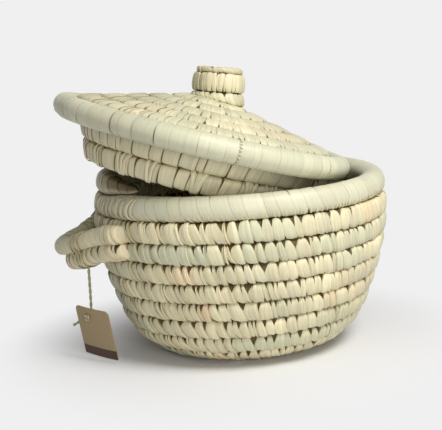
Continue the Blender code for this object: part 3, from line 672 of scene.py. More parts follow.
class Strips:
    """The leaf strips round a coil, side by side; the order of its calls is that of its draws."""

    def __init__(self, course, wrap, width, chance):
        borders = strip_borders(course.reach, wrap, width, chance)
        widths = borders[1:] - borders[:-1]
        self.course, self.wrap, self.chance = course, wrap, chance
        self.count = len(widths)
        self.middles = (borders[1:] + borders[:-1]) / 2.0
        self.fullness = np.minimum(widths / width, 1.0)
        self.half = widths / 2.0 * (1.0 + wrap["overlap"])
        self.up, self.out = girth(course.squareness)

    def points(self):
        distance, height = self.outlines()
        return self.course.points(distance, height, self.out[None, :, None], self.lifts())

    def outlines(self):
        """Distances along the coil and heights in the row, pointed where a strip is sewn down."""
        wrap, chance, up, count = self.wrap, self.chance, self.up, self.count
        top = border_taper(up, wrap["notch_start"], wrap["tip"], wrap["notch_chance"], count + 1,
                           chance)
        foot = border_taper(-up, wrap["foot_start"], wrap["foot"], wrap["foot_chance"], count + 1,
                            chance)
        reach = 1.0 - np.clip(top + foot, 0.0, MOST_DRAWN_BOTH)
        towards_top, towards_foot = np.clip(up, 0.0, 1.0), np.clip(-up, 0.0, 1.0)
        lean = wrap["lean"] * chance.normal(0.0, 1.0, (count, 1)) * towards_top[None] ** 2
        slant = wrap["slant"] * chance.normal(1.0, SLANT_SPREAD, (count, 1))
        sweep = SLANT_CURVE * (1.0 - up[None]) ** 2 - SLANT_START
        centre = self.middles[:, None] + slant * sweep + lean * self.half[:, None] * LEAN_SHARE
        stretch = (wrap["reach_top"] * chance.random((count, 1)) * towards_top ** 3
                   - wrap["reach_foot"] * chance.random((count, 1)) * towards_foot ** 3)
        sideways = np.where(ACROSS < 0.0, reach[:-1, :, None], reach[1:, :, None]) * ACROSS
        distance = centre[:, :, None] + self.half[:, None, None] * sideways
        return np.clip(distance, 0.0, self.course.reach), (up[None] + stretch)[:, :, None]

    def lifts(self):
        """How far the points stand off the coil: crowned, tilted, creased and sunk at the ends."""
        wrap, chance, up, count = self.wrap, self.chance, self.up, self.count
        rise = (wrap["crown"] * self.fullness)[:, None] * (1.0 - ACROSS[None] ** 2)
        rise = rise + wrap["tilt"] * ACROSS[None] * chance.normal(*TILTS, (count, 1))
        crease = chance.normal(0.0, wrap["crease"], (count, len(ACROSS)))
        first, last = crease[:, :1] * CREASE_AT_EDGE, crease[:, -1:] * CREASE_AT_EDGE
        crease[:, :2], crease[:, -2:] = first, last
        rise = rise + crease + chance.normal(0.0, wrap["crease"] * CREASE_WHOLE, (count, 1))
        wave = chance.normal(0.0, wrap["crease"] * CREASE_POINT, (count, len(up), len(ACROSS)))
        sunk = near_ends(up, SINK_FROM, wrap["dip_top"], wrap["dip_foot"])
        return rise[:, None, :] + wave - sunk[None, :, None] - TUCK_DEPTH * TUCKED

    def tones(self, tint, end_shade_length):
        """Hue, level and shade of the points, and their places in the grain of the leaf."""
        wrap, chance, up, count = self.wrap, self.chance, self.up, self.count
        same = np.ones((count, len(up), len(ACROSS)))
        hue = 0.5 + wrap["hue"] * drift(count, chance, HUE_HOLD)
        hue = hue + np.interp(self.middles / self.course.reach, (0.0, 1.0), tint)
        level = 0.5 + LEVEL_SPREAD * drift(count, chance, LEVEL_HOLD)
        # Painted shade: darker towards the grooves where rows meet, and along the edges where
        # strips meet, by a random amount at each edge
        groove = near_ends(up, DARK_FROM, wrap["shade_top"], wrap["shade_foot"])
        edge = wrap["edge"] * AT_EDGE + TUCK_SHADE * TUCKED
        edge_shade_strength = np.where(ACROSS < 0.0, chance.uniform(*EDGE_SHADE_SPREAD, (count, 1, 1)),
                        chance.uniform(*EDGE_SHADE_SPREAD, (count, 1, 1)))
        shade = groove[None, :, None] + edge[None, None, :] * edge_shade_strength
        # Painted shade over the end of the rim, where the lid shades it: darker towards the end,
        # most over the upper half of the section
        if end_shade_length:
            end_shade = smooth_step((self.middles - self.course.reach + end_shade_length) / end_shade_length)
            shade = shade + (MOST_SHADE * end_shade[:, None, None]
                             * smooth_step(up + 1.0)[None, :, None])
        shade = np.clip(shade, 0.0, MOST_SHADE)
        tone = np.stack((hue[:, None, None] * same, level[:, None, None] * same, shade), -1)
        around = np.arange(len(up))[None, :, None] * GRAIN_STEP
        place = np.stack((self.half[:, None, None] * ACROSS * same, around * same,
                          chance.uniform(*GRAIN_PLACES, (count, 1, 1)) * same), -1)
        return {"leaf_tone": tone, "leaf_place": place}


def wrap_course(name, course, wrap, width, material, body, nodes, seed, tint, end_shade_length):
    """Strips of leaf round a coil, each a closed band."""
    strips = Strips(course, wrap, width, np.random.default_rng(seed))
    points = strips.points()
    return make_bands(name, points, True, material, body, nodes, strips.tones(tint, end_shade_length))


# The bundle inside the wraps: how far in it lies at the side of a row, and how far out where two
# rows meet, its sides, its steps, how far from the coil's ends it stops, and its ridges
BUNDLE_INSET = 0.0015
BUNDLE_MEET = 0.00028
BUNDLE_SIDES = 14
BUNDLE_STEP = 0.0055
BUNDLE_LEAST_STEPS = 8
BUNDLE_END = 0.0005
BUNDLE_RIDGE = 0.00022
BUNDLE_UNEVEN = 0.00012
BUNDLE_RADIUS = 0.009


def fill_course(name, course, material, body, nodes, seed, free_top, free_foot):
    """The grass bundle inside the wraps: a ridged tube that meets its neighbours in the grooves."""
    chance = np.random.default_rng(seed)
    count = max(BUNDLE_LEAST_STEPS, int(course.reach / BUNDLE_STEP))
    distance = np.linspace(BUNDLE_END, course.reach - BUNDLE_END, count)[:, None]
    distance = distance + np.zeros((1, BUNDLE_SIDES))
    theta = (math.pi / 2.0 - FULL_TURN * np.arange(BUNDLE_SIDES) / BUNDLE_SIDES)[None]
    theta = theta + 0.0 * distance
    up, out = section(theta, course.squareness)
    ridges = (chance.normal(0.0, BUNDLE_RIDGE, (1, BUNDLE_SIDES))
              + chance.normal(0.0, BUNDLE_UNEVEN, (count, BUNDLE_SIDES)))
    top = -BUNDLE_INSET if free_top else BUNDLE_MEET
    foot = -BUNDLE_INSET if free_foot else BUNDLE_MEET
    lift = (-BUNDLE_INSET * np.abs(out) + top * np.clip(up, 0.0, 1.0) ** 4
            + foot * np.clip(-up, 0.0, 1.0) ** 4)
    points = course.points(distance, up, out, lift + ridges * np.abs(out))
    place = np.stack((theta * BUNDLE_RADIUS, distance, 0.0 * distance), -1)
    return make_bands(name, points[None], False, material, body, nodes,
                      {"grass_place": place})


# Loose flat strips: their section as shares of half width and thickness, and how they vary, with
# painted shade along their edges and towards their ends
STRIP_SECTION = np.array(((-1.0, -0.4), (-0.86, 0.6), (0.0, 1.0), (0.86, 0.6), (1.0, -0.4),
                          (0.0, -0.9)))
STRIP_THICKNESS = 0.0004
STRIP_HUE_SPREAD = 0.05
STRIP_LEVEL_SPREAD = 0.15
STRIP_EDGE_SHADE = 0.9
STRIP_END_SHADE = 0.6
STRIP_GRAIN_STEP = 0.0015


def strip_rings(centre, normal, half):
    """Rings of a flat strip along a path, its face towards the normals."""
    along = np.gradient(centre, axis=0)
    along /= np.linalg.norm(along, axis=1, keepdims=True)
    side = np.cross(along, normal)
    side /= np.linalg.norm(side, axis=1, keepdims=True)
    face = np.cross(side, along)
    return (centre[:, None] + side[:, None] * (half[:, None, None] * STRIP_SECTION[None, :, :1])
            + face[:, None] * (STRIP_THICKNESS * STRIP_SECTION[None, :, 1:]))


def lay_strips(name, strips, material, body, seed, level):
    """A piece of loose strips, each a path with its normals and half widths."""
    chance = np.random.default_rng(seed)
    rings = np.stack([strip_rings(*strip) for strip in strips])
    count, along, around = rings.shape[:3]
    same = np.ones((count, along, around))
    hue = 0.5 + STRIP_HUE_SPREAD * chance.normal(0.0, 1.0, (count, 1, 1)) * same
    level = level + STRIP_LEVEL_SPREAD * chance.normal(0.0, 1.0, (count, 1, 1)) * same
    # Painted shade along the edges of each strip and towards its ends
    shade = STRIP_EDGE_SHADE * (np.abs(STRIP_SECTION[:, 0]) > 0.99) * same
    ends = np.abs(np.linspace(-1.0, 1.0, along)) ** 6
    shade = np.clip(shade + STRIP_END_SHADE * ends[None, :, None], 0.0, 1.0)
    halves = np.stack([strip[2] for strip in strips])
    place = np.stack((halves[:, :, None] * STRIP_SECTION[:, 0],
                      np.arange(along)[None, :, None] * STRIP_GRAIN_STEP * same,
                      chance.uniform(*GRAIN_PLACES, (count, 1, 1)) * same), -1)
    values = {"leaf_tone": np.stack((hue, level, shade), -1), "leaf_place": place}
    return make_bands(name, rings, False, material, body, (), values)


def course_strip(course, distances, thetas, half, lift):
    """A strip laid over a coil, along a path of distances and angles round the section."""
    points, normals = course.skin(np.asarray(distances), np.asarray(thetas), lift)
    return points, normals, half


# A direction that no tube starts along, from which its first side is worked out
TUBE_SIDE = (0.3, 0.5, 0.81)


def tube_rings(path, radius, sides=8):
    """Rings of a round tube along a path, turned as little as can be from ring to ring."""
    along = np.gradient(path, axis=0)
    along /= np.linalg.norm(along, axis=1, keepdims=True)
    side = np.cross(along[0], TUBE_SIDE)
    turn = FULL_TURN * np.arange(sides) / sides
    rings = []
    for point, way in zip(path, along):
        side = side - way * np.dot(side, way)
        side /= np.linalg.norm(side)
        other = np.cross(way, side)
        spokes = np.cos(turn)[:, None] * side + np.sin(turn)[:, None] * other
        rings.append(point + radius * spokes)
    return np.stack(rings)


def smooth_route(route, steps):
    """Points of a Catmull-Rom curve through a route, the same curve as the part's source."""
    route = np.array(route)
    ends = np.concatenate(([2.0 * route[0] - route[1]], route, [2.0 * route[-1] - route[-2]]))
    t = (np.arange(1, steps + 1) / steps)[:, None]
    points = [route[:1]]
    for before, first, second, after in zip(ends, ends[1:], ends[2:], ends[3:]):
        points.append(0.5 * (2.0 * first + (second - before) * t
                             + (2.0 * before - 5.0 * first + 4.0 * second - after) * t ** 2
                             + (3.0 * first - before - 3.0 * second + after) * t ** 3))
    return np.concatenate(points)


# Materials
NOISE_ROUGHNESS = 0.6


def new_material(name):
    material = bpy.data.materials.new(name)
    material.use_nodes = True
    return material, material.node_tree, material.node_tree.nodes["Principled BSDF"]


def node(tree, kind, inputs=None, **settings):
    """A shader node with its settings, and its inputs by name or index, linked or set."""
    made = tree.nodes.new(kind)
    for name, value in settings.items():
        setattr(made, name, value)
    for key, value in (inputs or {}).items():
        if isinstance(value, bpy.types.NodeSocket):
            tree.links.new(value, made.inputs[key])
        else:
            made.inputs[key].default_value = value
    return made


def srgb(red, green, blue):
    """A colour as a picture shows it, 0 to 255, as the light it stands for."""
    shares = [part / 255.0 for part in (red, green, blue)]
    light = [share / 12.92 if share <= 0.04045 else ((share + 0.055) / 1.055) ** 2.4
             for share in shares]
    return (*light, 1.0)


def shades(colour, darker, paler):
    """A colour made darker by a share, as it is, and made paler by a share."""
    return [tuple(min(part * share, 1.0) for part in colour) + (1.0,)
            for share in (darker, 1.0, paler)]


def colour_ramp(tree, factor, stops):
    ramp = node(tree, "ShaderNodeValToRGB", {"Fac": factor})
    elements = ramp.color_ramp.elements
    while len(elements) < len(stops):
        elements.new(0.5)
    for element, (position, colour) in zip(elements, stops):
        element.position = position
        element.color = colour
    return ramp.outputs["Color"]


def mix_colour(tree, blend, factor, first, second):
    mix = node(tree, "ShaderNodeMix", {0: factor, 6: first, 7: second}, data_type="RGBA",
               blend_type=blend)
    return mix.outputs[2]


def map_range(tree, value, given, wanted, curve="LINEAR"):
    """A value taken from one range to another, and kept inside it."""
    made = node(tree, "ShaderNodeMapRange",
                {"Value": value, 1: given[0], 2: given[1], 3: wanted[0], 4: wanted[1]},
                interpolation_type=curve)
    return made.outputs[0]


def combine(tree, operation, first, second):
    return node(tree, "ShaderNodeMath", {0: first, 1: second}, operation=operation).outputs[0]


def attribute_parts(tree, attribute):
    place = node(tree, "ShaderNodeAttribute", attribute_name=attribute)
    return node(tree, "ShaderNodeSeparateXYZ", {"Vector": place.outputs["Vector"]}).outputs


def stretched_noise(tree, attribute, scale, detail):
    """Noise along a strip or a bundle, from the places that its mesh holds."""
    place = node(tree, "ShaderNodeAttribute", attribute_name=attribute)
    mapped = node(tree, "ShaderNodeMapping", {"Vector": place.outputs["Vector"], "Scale": scale})
    noise = node(tree, "ShaderNodeTexNoise", {"Vector": mapped.outputs["Vector"], "Scale": 1.0,
                                              "Detail": detail, "Roughness": NOISE_ROUGHNESS})
    return noise.outputs["Fac"]


def add_bump(tree, shader, height, strength, distance):
    bump = node(tree, "ShaderNodeBump",
                {"Strength": strength, "Distance": distance, "Height": height})
    tree.links.new(bump.outputs[0], shader.inputs["Normal"])


# Leaf: noise of its fibres, folds and patches, as scales per metre and detail; how far fibres and
# folds darken and brighten it where its grain is 1; its dimmest and brightest level
LEAF_FIBRES = ((2400.0, 70.0, 1.0), 3.0)
LEAF_FOLDS = ((620.0, 16.0, 1.0), 2.0)
LEAF_PATCHES = ((200.0, 60.0, 1.0), 2.0)
FIBRE_TONES = (-0.10, 0.05)
FOLD_TONES = (-0.16, 0.04)
LEVEL_TONES = (0.84, 1.08)

# The colours it turns to in patches, in painted shade in grooves and along edges, and in darker
# painted shade at the end of the rim, with how much
WARM_COLOUR = srgb(214, 202, 160)
WARM_MOST = 0.35
PAINTED_SHADE_COLOUR = srgb(158, 136, 86)
PAINTED_SHADE_MOST = 0.8
END_SHADE_COLOUR = srgb(88, 82, 66)
END_SHADE_MOST = 0.9

# Its roughness and grain, on the walls and on the smoother rims, how far fibres change the
# roughness, and its shine and bump
WALL_ROUGHNESS = 0.46
WALL_GRAIN = 1.0
RIM_ROUGHNESS = 0.42
RIM_GRAIN = 0.4
ROUGHNESS_CHANGE = (-0.08, 0.12)
LEAF_SPECULAR = 0.4
LEAF_BUMP = 0.35
LEAF_BUMP_HEIGHT = 0.0004


def leaf_material(name, colours, roughness, grain):
    """Dried palm leaf: a tone per wrap, fine fibres along it, and brown painted shade in grooves
    and at edges.
    """
    material, tree, shader = new_material(name)
    hue, level, shade = attribute_parts(tree, "leaf_tone")
    base = colour_ramp(tree, hue, colours)
    fibre = stretched_noise(tree, "leaf_place", *LEAF_FIBRES)
    fold = stretched_noise(tree, "leaf_place", *LEAF_FOLDS)
    patch = stretched_noise(tree, "leaf_place", *LEAF_PATCHES)
    fine = map_range(tree, fibre, (0.3, 0.7), [1.0 + tone * grain for tone in FIBRE_TONES])
    folds = map_range(tree, fold, (0.32, 0.62), [1.0 + tone * grain for tone in FOLD_TONES])
    lines = combine(tree, "MULTIPLY", fine, folds)
    bright = combine(tree, "MULTIPLY", lines, map_range(tree, level, (0.0, 1.0), LEVEL_TONES))
    grey = node(tree, "ShaderNodeCombineColor", {"Red": bright, "Green": bright, "Blue": bright})
    blotch = map_range(tree, patch, (0.35, 0.75), (0.0, WARM_MOST))
    warm = mix_colour(tree, "MIX", blotch, base, WARM_COLOUR)
    lit = mix_colour(tree, "MULTIPLY", 1.0, warm, grey.outputs[0])
    # Painted shade: the shade attribute turns the leaf brown in the grooves and along the edges
    depth = combine(tree, "MULTIPLY", shade, PAINTED_SHADE_MOST)
    painted_shade = mix_colour(tree, "MULTIPLY", depth, lit, PAINTED_SHADE_COLOUR)
    # Painted shade at the end of the rim: shade past 1 darkens the leaf further
    end_shade = map_range(tree, shade, (1.0, MOST_SHADE), (0.0, END_SHADE_MOST))
    end_shaded = mix_colour(tree, "MULTIPLY", end_shade, painted_shade, END_SHADE_COLOUR)
    tree.links.new(end_shaded, shader.inputs["Base Color"])
    shine = map_range(tree, fibre, (0.2, 0.8), [roughness + change for change in ROUGHNESS_CHANGE])
    tree.links.new(shine, shader.inputs["Roughness"])
    shader.inputs["Specular IOR Level"].default_value = LEAF_SPECULAR
    height = combine(tree, "ADD", fibre, fold)
    add_bump(tree, shader, height, LEAF_BUMP * grain, LEAF_BUMP_HEIGHT)
    return material


# Stalks of the bundles and of the twine: the attribute that holds their places, the noise along
# them, shares of the colour for the darkest and palest, how far these are from the middle of the
# ramp, roughness, and the strength and height of the bump
BUNDLE_STALKS = {
    "attribute": "grass_place", "noise": ((1400.0, 40.0, 1.0), 4.0), "tones": (0.42, 1.9),
    "spread": 0.25, "roughness": 0.85, "bump": (0.7, 0.0008),
}
TWINE_STALKS = {
    "attribute": "twine_place", "noise": ((3.2, 900.0, 1.0), 3.0), "tones": (0.68, 1.25),
    "spread": 0.2, "roughness": 0.8, "bump": (0.6, 0.0003),
}


def stalk_material(name, colour, stalks):
    """Grass stalks side by side, darker between them."""
    material, tree, shader = new_material(name)
    noise = stretched_noise(tree, stalks["attribute"], *stalks["noise"])
    places = (0.5 - stalks["spread"], 0.5, 0.5 + stalks["spread"])
    ramp = colour_ramp(tree, noise, list(zip(places, shades(colour, *stalks["tones"]))))
    tree.links.new(ramp, shader.inputs["Base Color"])
    shader.inputs["Roughness"].default_value = stalks["roughness"]
    add_bump(tree, shader, noise, *stalks["bump"])
    return material


# Card: noise of its fibres and flecks, shares of the colour for the darkest and palest fibres, how
# strong the flecks are, the edge of the band and how far it wavers, how much paper shows through
# the ink, roughness of the paper and of the ink, and the bump
CARD_FIBRES = ((900.0, 2600.0, 1.0), 4.0)
CARD_FLECKS = ((260.0, 300.0, 1.0), 5.0)
CARD_TONES = (0.72, 1.22)
FLECKS_MOST = 0.45
BAND_EDGE = (-0.0002, 0.0003)
BAND_WAVER = 0.0002
INK_SHOWS = 0.06
CARD_ROUGHNESS = (0.82, 0.62)
CARD_BUMP = (0.25, 0.0002)


def card_material(name, kraft, band, band_height):
    """Kraft card with fibres and flecks, and a printed band along the foot of its front."""
    material, tree, shader = new_material(name)
    _, above_foot, front = attribute_parts(tree, "card_place")
    fibre = stretched_noise(tree, "card_place", *CARD_FIBRES)
    fleck = stretched_noise(tree, "card_place", *CARD_FLECKS)
    dark, plain, pale = shades(kraft, *CARD_TONES)
    paper = colour_ramp(tree, fibre, ((0.3, dark), (0.52, plain), (0.75, pale)))
    specks = map_range(tree, fleck, (0.62, 0.72), (0.0, FLECKS_MOST))
    paper = mix_colour(tree, "MIX", specks, paper, dark)
    waver = node(tree, "ShaderNodeMath", {0: fleck, 1: BAND_WAVER, 2: above_foot},
                 operation="MULTIPLY_ADD")
    edge = [band_height + change for change in BAND_EDGE]
    inside = map_range(tree, waver.outputs[0], edge, (1.0, 0.0), "SMOOTHSTEP")
    printed = combine(tree, "MULTIPLY", inside, front)
    ink = mix_colour(tree, "MIX", INK_SHOWS, (*band, 1.0), paper)
    colour = mix_colour(tree, "MIX", printed, paper, ink)
    tree.links.new(colour, shader.inputs["Base Color"])
    gloss = map_range(tree, printed, (0.0, 1.0), CARD_ROUGHNESS)
    tree.links.new(gloss, shader.inputs["Roughness"])
    add_bump(tree, shader, fibre, *CARD_BUMP)
    return material


# Places of a leaf's tones on its ramp, and shares of the cream for its light and for a brown leaf
LEAF_STOPS = (0.08, 0.34, 0.52, 0.68, 0.90)
LEAF_LIGHT = 1.12
LEAF_BROWN = 0.62


def leaf_colours(colours, smooth=False):
    """Ramp of a leaf's tones, from green through cream to a blush; the smooth coils are greyer."""
    main = colours.smooth if smooth else colours.cream
    green, cream, blush = (np.array(part) for part in (colours.green, main, colours.blush))
    light = np.minimum(cream * LEAF_LIGHT, 1.0)
    ripe = (blush + cream) / 2.0 if smooth else blush
    tones = (green, (green + cream) / 2.0, cream, light, ripe)
    return [(place, (*tone.tolist(), 1.0)) for place, tone in zip(LEAF_STOPS, tones)]


def shared_material(name, make, *rest):
    return bpy.data.materials.get(name) or make(name, *rest)


def wall_leaf(scene):
    return shared_material("wall_leaf", leaf_material, leaf_colours(scene.basket_colours),
                           WALL_ROUGHNESS, WALL_GRAIN)


def rim_leaf(scene):
    return shared_material("rim_leaf", leaf_material, leaf_colours(scene.basket_colours, True),
                           RIM_ROUGHNESS, RIM_GRAIN)


def grass_leaf(scene):
    """Leaf as brown as the grass, for the start of the lid's coil."""
    brown = [(place, tuple(part * LEAF_BROWN for part in colour[:3]) + (1.0,))
             for place, colour in leaf_colours(scene.basket_colours)]
    return shared_material("heart_leaf", leaf_material, brown, WALL_ROUGHNESS, WALL_GRAIN)


def grass(scene):
    return shared_material("grass_bundle", stalk_material, tuple(scene.basket_colours.grass),
                           BUNDLE_STALKS)


def twine(scene):
    return shared_material("twisted_twine", stalk_material, tuple(scene.basket_colours.twine),
                           TWINE_STALKS)


class BASKET_PG_sizes(PropertyGroup):
    """Sizes of the strips, the twine and the band on the tag"""
    wall_strip: FloatProperty(name="Wall strip", description="Mean width of a strip on the wall",
                              default=0.0083, min=0.003, max=0.03, unit="LENGTH")
    rim_strip: FloatProperty(name="Rim strip", description="Mean width of a strip on the two rims",
                             default=0.0124, min=0.004, max=0.04, unit="LENGTH")
    crown_strip: FloatProperty(name="Crown strip",
                               description="Mean width of a strip on the crown of the lid",
                               default=0.0110, min=0.004, max=0.04, unit="LENGTH")
    flange_strip: FloatProperty(name="Flange strip",
                                description="Mean width of a strip on the flange of the lid",
                                default=0.0120, min=0.004, max=0.04, unit="LENGTH")
    handle_strip: FloatProperty(name="Handle strip",
                                description="Mean width of a strip on the handle",
                                default=0.0084, min=0.003, max=0.03, unit="LENGTH")
    knob_strip: FloatProperty(name="Knob strip", description="Mean width of a strip on the knob",
                              default=0.0048, min=0.002, max=0.02, unit="LENGTH")
    twine_lay: FloatProperty(name="Twine lay", description="Length of one twist of the twine",
                             default=0.0125, min=0.002, max=0.03, unit="LENGTH")
    band: FloatProperty(name="Band", description="Height of the printed band on the tag",
                        default=0.0100, min=0.0, max=0.03, unit="LENGTH")


class BASKET_PG_colours(PropertyGroup):
    """Colours of the leaf, the grass, the twine, the tag and the floor"""
    cream: FloatVectorProperty(name="Cream", description="Colour of most of the leaf strips",
                               default=srgb(222, 213, 178)[:3], subtype="COLOR", min=0.0, max=1.0)
    smooth: FloatVectorProperty(name="Smooth", description="Colour of the leaf on the two rims",
                                default=srgb(204, 202, 177)[:3], subtype="COLOR", min=0.0, max=1.0)
    green: FloatVectorProperty(name="Green", description="Colour of the greenest leaf strips",
                               default=srgb(204, 208, 178)[:3], subtype="COLOR", min=0.0, max=1.0)
    blush: FloatVectorProperty(name="Blush", description="Colour of the ripest leaf strips",
                               default=srgb(229, 204, 165)[:3], subtype="COLOR", min=0.0, max=1.0)
    grass: FloatVectorProperty(name="Grass", description="Colour of the bundle inside the strips",
                               default=srgb(92, 78, 44)[:3], subtype="COLOR", min=0.0, max=1.0)
    twine: FloatVectorProperty(name="Twine", description="Colour of the twine of the tag",
                               default=srgb(164, 159, 124)[:3], subtype="COLOR", min=0.0, max=1.0)
    card: FloatVectorProperty(name="Card", description="Colour of the card of the tag",
                              default=srgb(160, 140, 108)[:3], subtype="COLOR", min=0.0, max=1.0)
    band: FloatVectorProperty(name="Band", description="Colour of the printed band on the tag",
                              default=srgb(54, 28, 14)[:3], subtype="COLOR", min=0.0, max=1.0)
    floor: FloatVectorProperty(name="Floor", description="Colour of the floor",
                               default=(0.81, 0.81, 0.82), subtype="COLOR", min=0.0, max=1.0)


def dress_course(scene, name, course, wrap, width, leaf, body, nodes, seed, tint=(0.0, 0.0),
                 free_top=False, free_foot=False, end_shade_length=0.0):
    """Wraps over a bundle, as two pieces."""
    wrap_course(name + "_wraps", course, wrap, width, leaf, body, nodes[:1], seed, tint,
                end_shade_length)
    fill_course(name + "_bundle", course, grass(scene), body, nodes[1:], seed + 1,
                free_top, free_foot)


# The bent grass at the start of a coil: its folds and the points round each, its rings, powers of
# its section, its least and mean radius as shares, how deep the folds are in and up, how they
# turn, and the grain, level and hue of the leaf round it, and the painted shade in its folds
HEART_FOLDS = 9
HEART_FOLD_POINTS = 6
HEART_RINGS = 15
HEART_OUT_POWER = 0.45
HEART_UP_POWER = 0.6
HEART_LEAST = 0.03
HEART_MEAN = 0.965
HEART_FOLD_IN = 0.03
HEART_FOLD_UP = 0.05
HEART_FOLD_TURN = 2.0
HEART_GRAIN = 0.004
HEART_LEVEL = 0.45
HEART_HUE_CHANGE = 0.2
HEART_HUE_WAVES = 3.0
HEART_SHADE = 0.5


def coil_heart(name, radius, low, high, material, body, nodes, matrix):
    """The bent grass at the start of a coil: a low button with folds that run in to its middle."""
    around = HEART_FOLDS * HEART_FOLD_POINTS
    turn = FULL_TURN * np.arange(around) / around
    middle, half = (low + high) / 2.0, (high - low) / 2.0
    rings = []
    for theta in np.linspace(-math.pi / 2.0, math.pi / 2.0, HEART_RINGS):
        reach = max(abs(math.cos(theta)) ** HEART_OUT_POWER, HEART_LEAST)
        level = math.copysign(abs(math.sin(theta)) ** HEART_UP_POWER, theta)
        fold = np.cos(HEART_FOLDS * turn + HEART_FOLD_TURN * (1.0 - reach)) * reach ** 2
        radial = radius * reach * (HEART_MEAN + HEART_FOLD_IN * fold)
        height = middle + half * (level - HEART_FOLD_UP * fold * level)
        rings.append(ring_point(radial, turn, height))
    rings = np.stack(rings)[None]
    same = np.ones(rings.shape[:3])
    grain = np.abs(np.sin(HEART_FOLDS * turn / 2.0)) * HEART_GRAIN
    place = np.stack((grain * same, np.linalg.norm(rings[..., :2], axis=-1), 0.0 * same), -1)
    hue = 0.5 + HEART_HUE_CHANGE * np.sin(HEART_HUE_WAVES * turn)
    # Painted shade in the hollows between the folds
    shade = HEART_SHADE * np.clip(-np.cos(HEART_FOLDS * turn), 0.0, 1.0)
    tone = np.stack((hue * same, HEART_LEVEL * same, shade * same), -1)
    return make_bands(name, moved(rings, matrix), False, material, body, nodes,
                      {"leaf_tone": tone, "leaf_place": place})


# Places along a stitch, from its start to its end, where its points are
SHORT_STEPS = np.linspace(0.0, 1.0, 7)
LONG_STEPS = np.linspace(0.0, 1.0, 13)


def spindle(share, power):
    """Width of a stitch, as a share: widest half way and drawn in towards 0 and 1."""
    return np.sin(math.pi * share) ** power


def stitch_lift(steps, lift, start_sink, tail_sink, tail_start):
    """Heights of a stitch over its coil: its first point is sunk, and its tail sinks slowly."""
    tail = smooth_step((steps - tail_start) / (1.0 - tail_start))
    return lift - start_sink * (steps == 0.0) - tail_sink * tail


# Where the coil of the base starts, in turns, and over which lengths the ends of coils close
BASE_FIRST_TURN = 0.25
BASE_BLUNT = (0.006, 0.0)
RIM_BLUNT = (0.0, 0.012)
LID_BLUNT = (0.008, 0.008)
OPEN_ENDS = (0.0, 0.0)

# Length over which the end of the rim, in the lid's shadow, takes painted shade
RIM_END_SHADE = 0.095

# Stitches along the foot of the rim: where the first is, how much of the rim they take up, least
# and most spacing and half width, mean and spread of the slant, angles round the section in
# degrees, and the values of stitch_lift
RIM_STITCH_FIRST = 0.004
RIM_STITCH_SHARE = 0.90
RIM_STITCH_SPACING = (0.0036, 0.0066)
RIM_STITCH_HALF = (0.0008, 0.0015)
RIM_STITCH_SLANT = (0.0042, 0.0010)
RIM_STITCH_TOP = (-34.0, -16.0)
RIM_STITCH_FOOT = -84.0
RIM_STITCH_LIFT = (0.0003, 0.0016, 0.0012, 0.7)

# Claws over the start of the rim: the same, with where the last one is, and how far each is bowed
RIM_CLAW_FIRST = 0.010
RIM_CLAW_LAST = 0.082
RIM_CLAW_SPACING = (0.0046, 0.0098)
RIM_CLAW_HALF = (0.0014, 0.0030)
RIM_CLAW_BOW = (0.0050, 0.0085)
RIM_CLAW_TOP = (28.0, 58.0)
RIM_CLAW_FOOT = -82.0
RIM_CLAW_LIFT = (0.0007, 0.0018, 0.0012, 0.8)


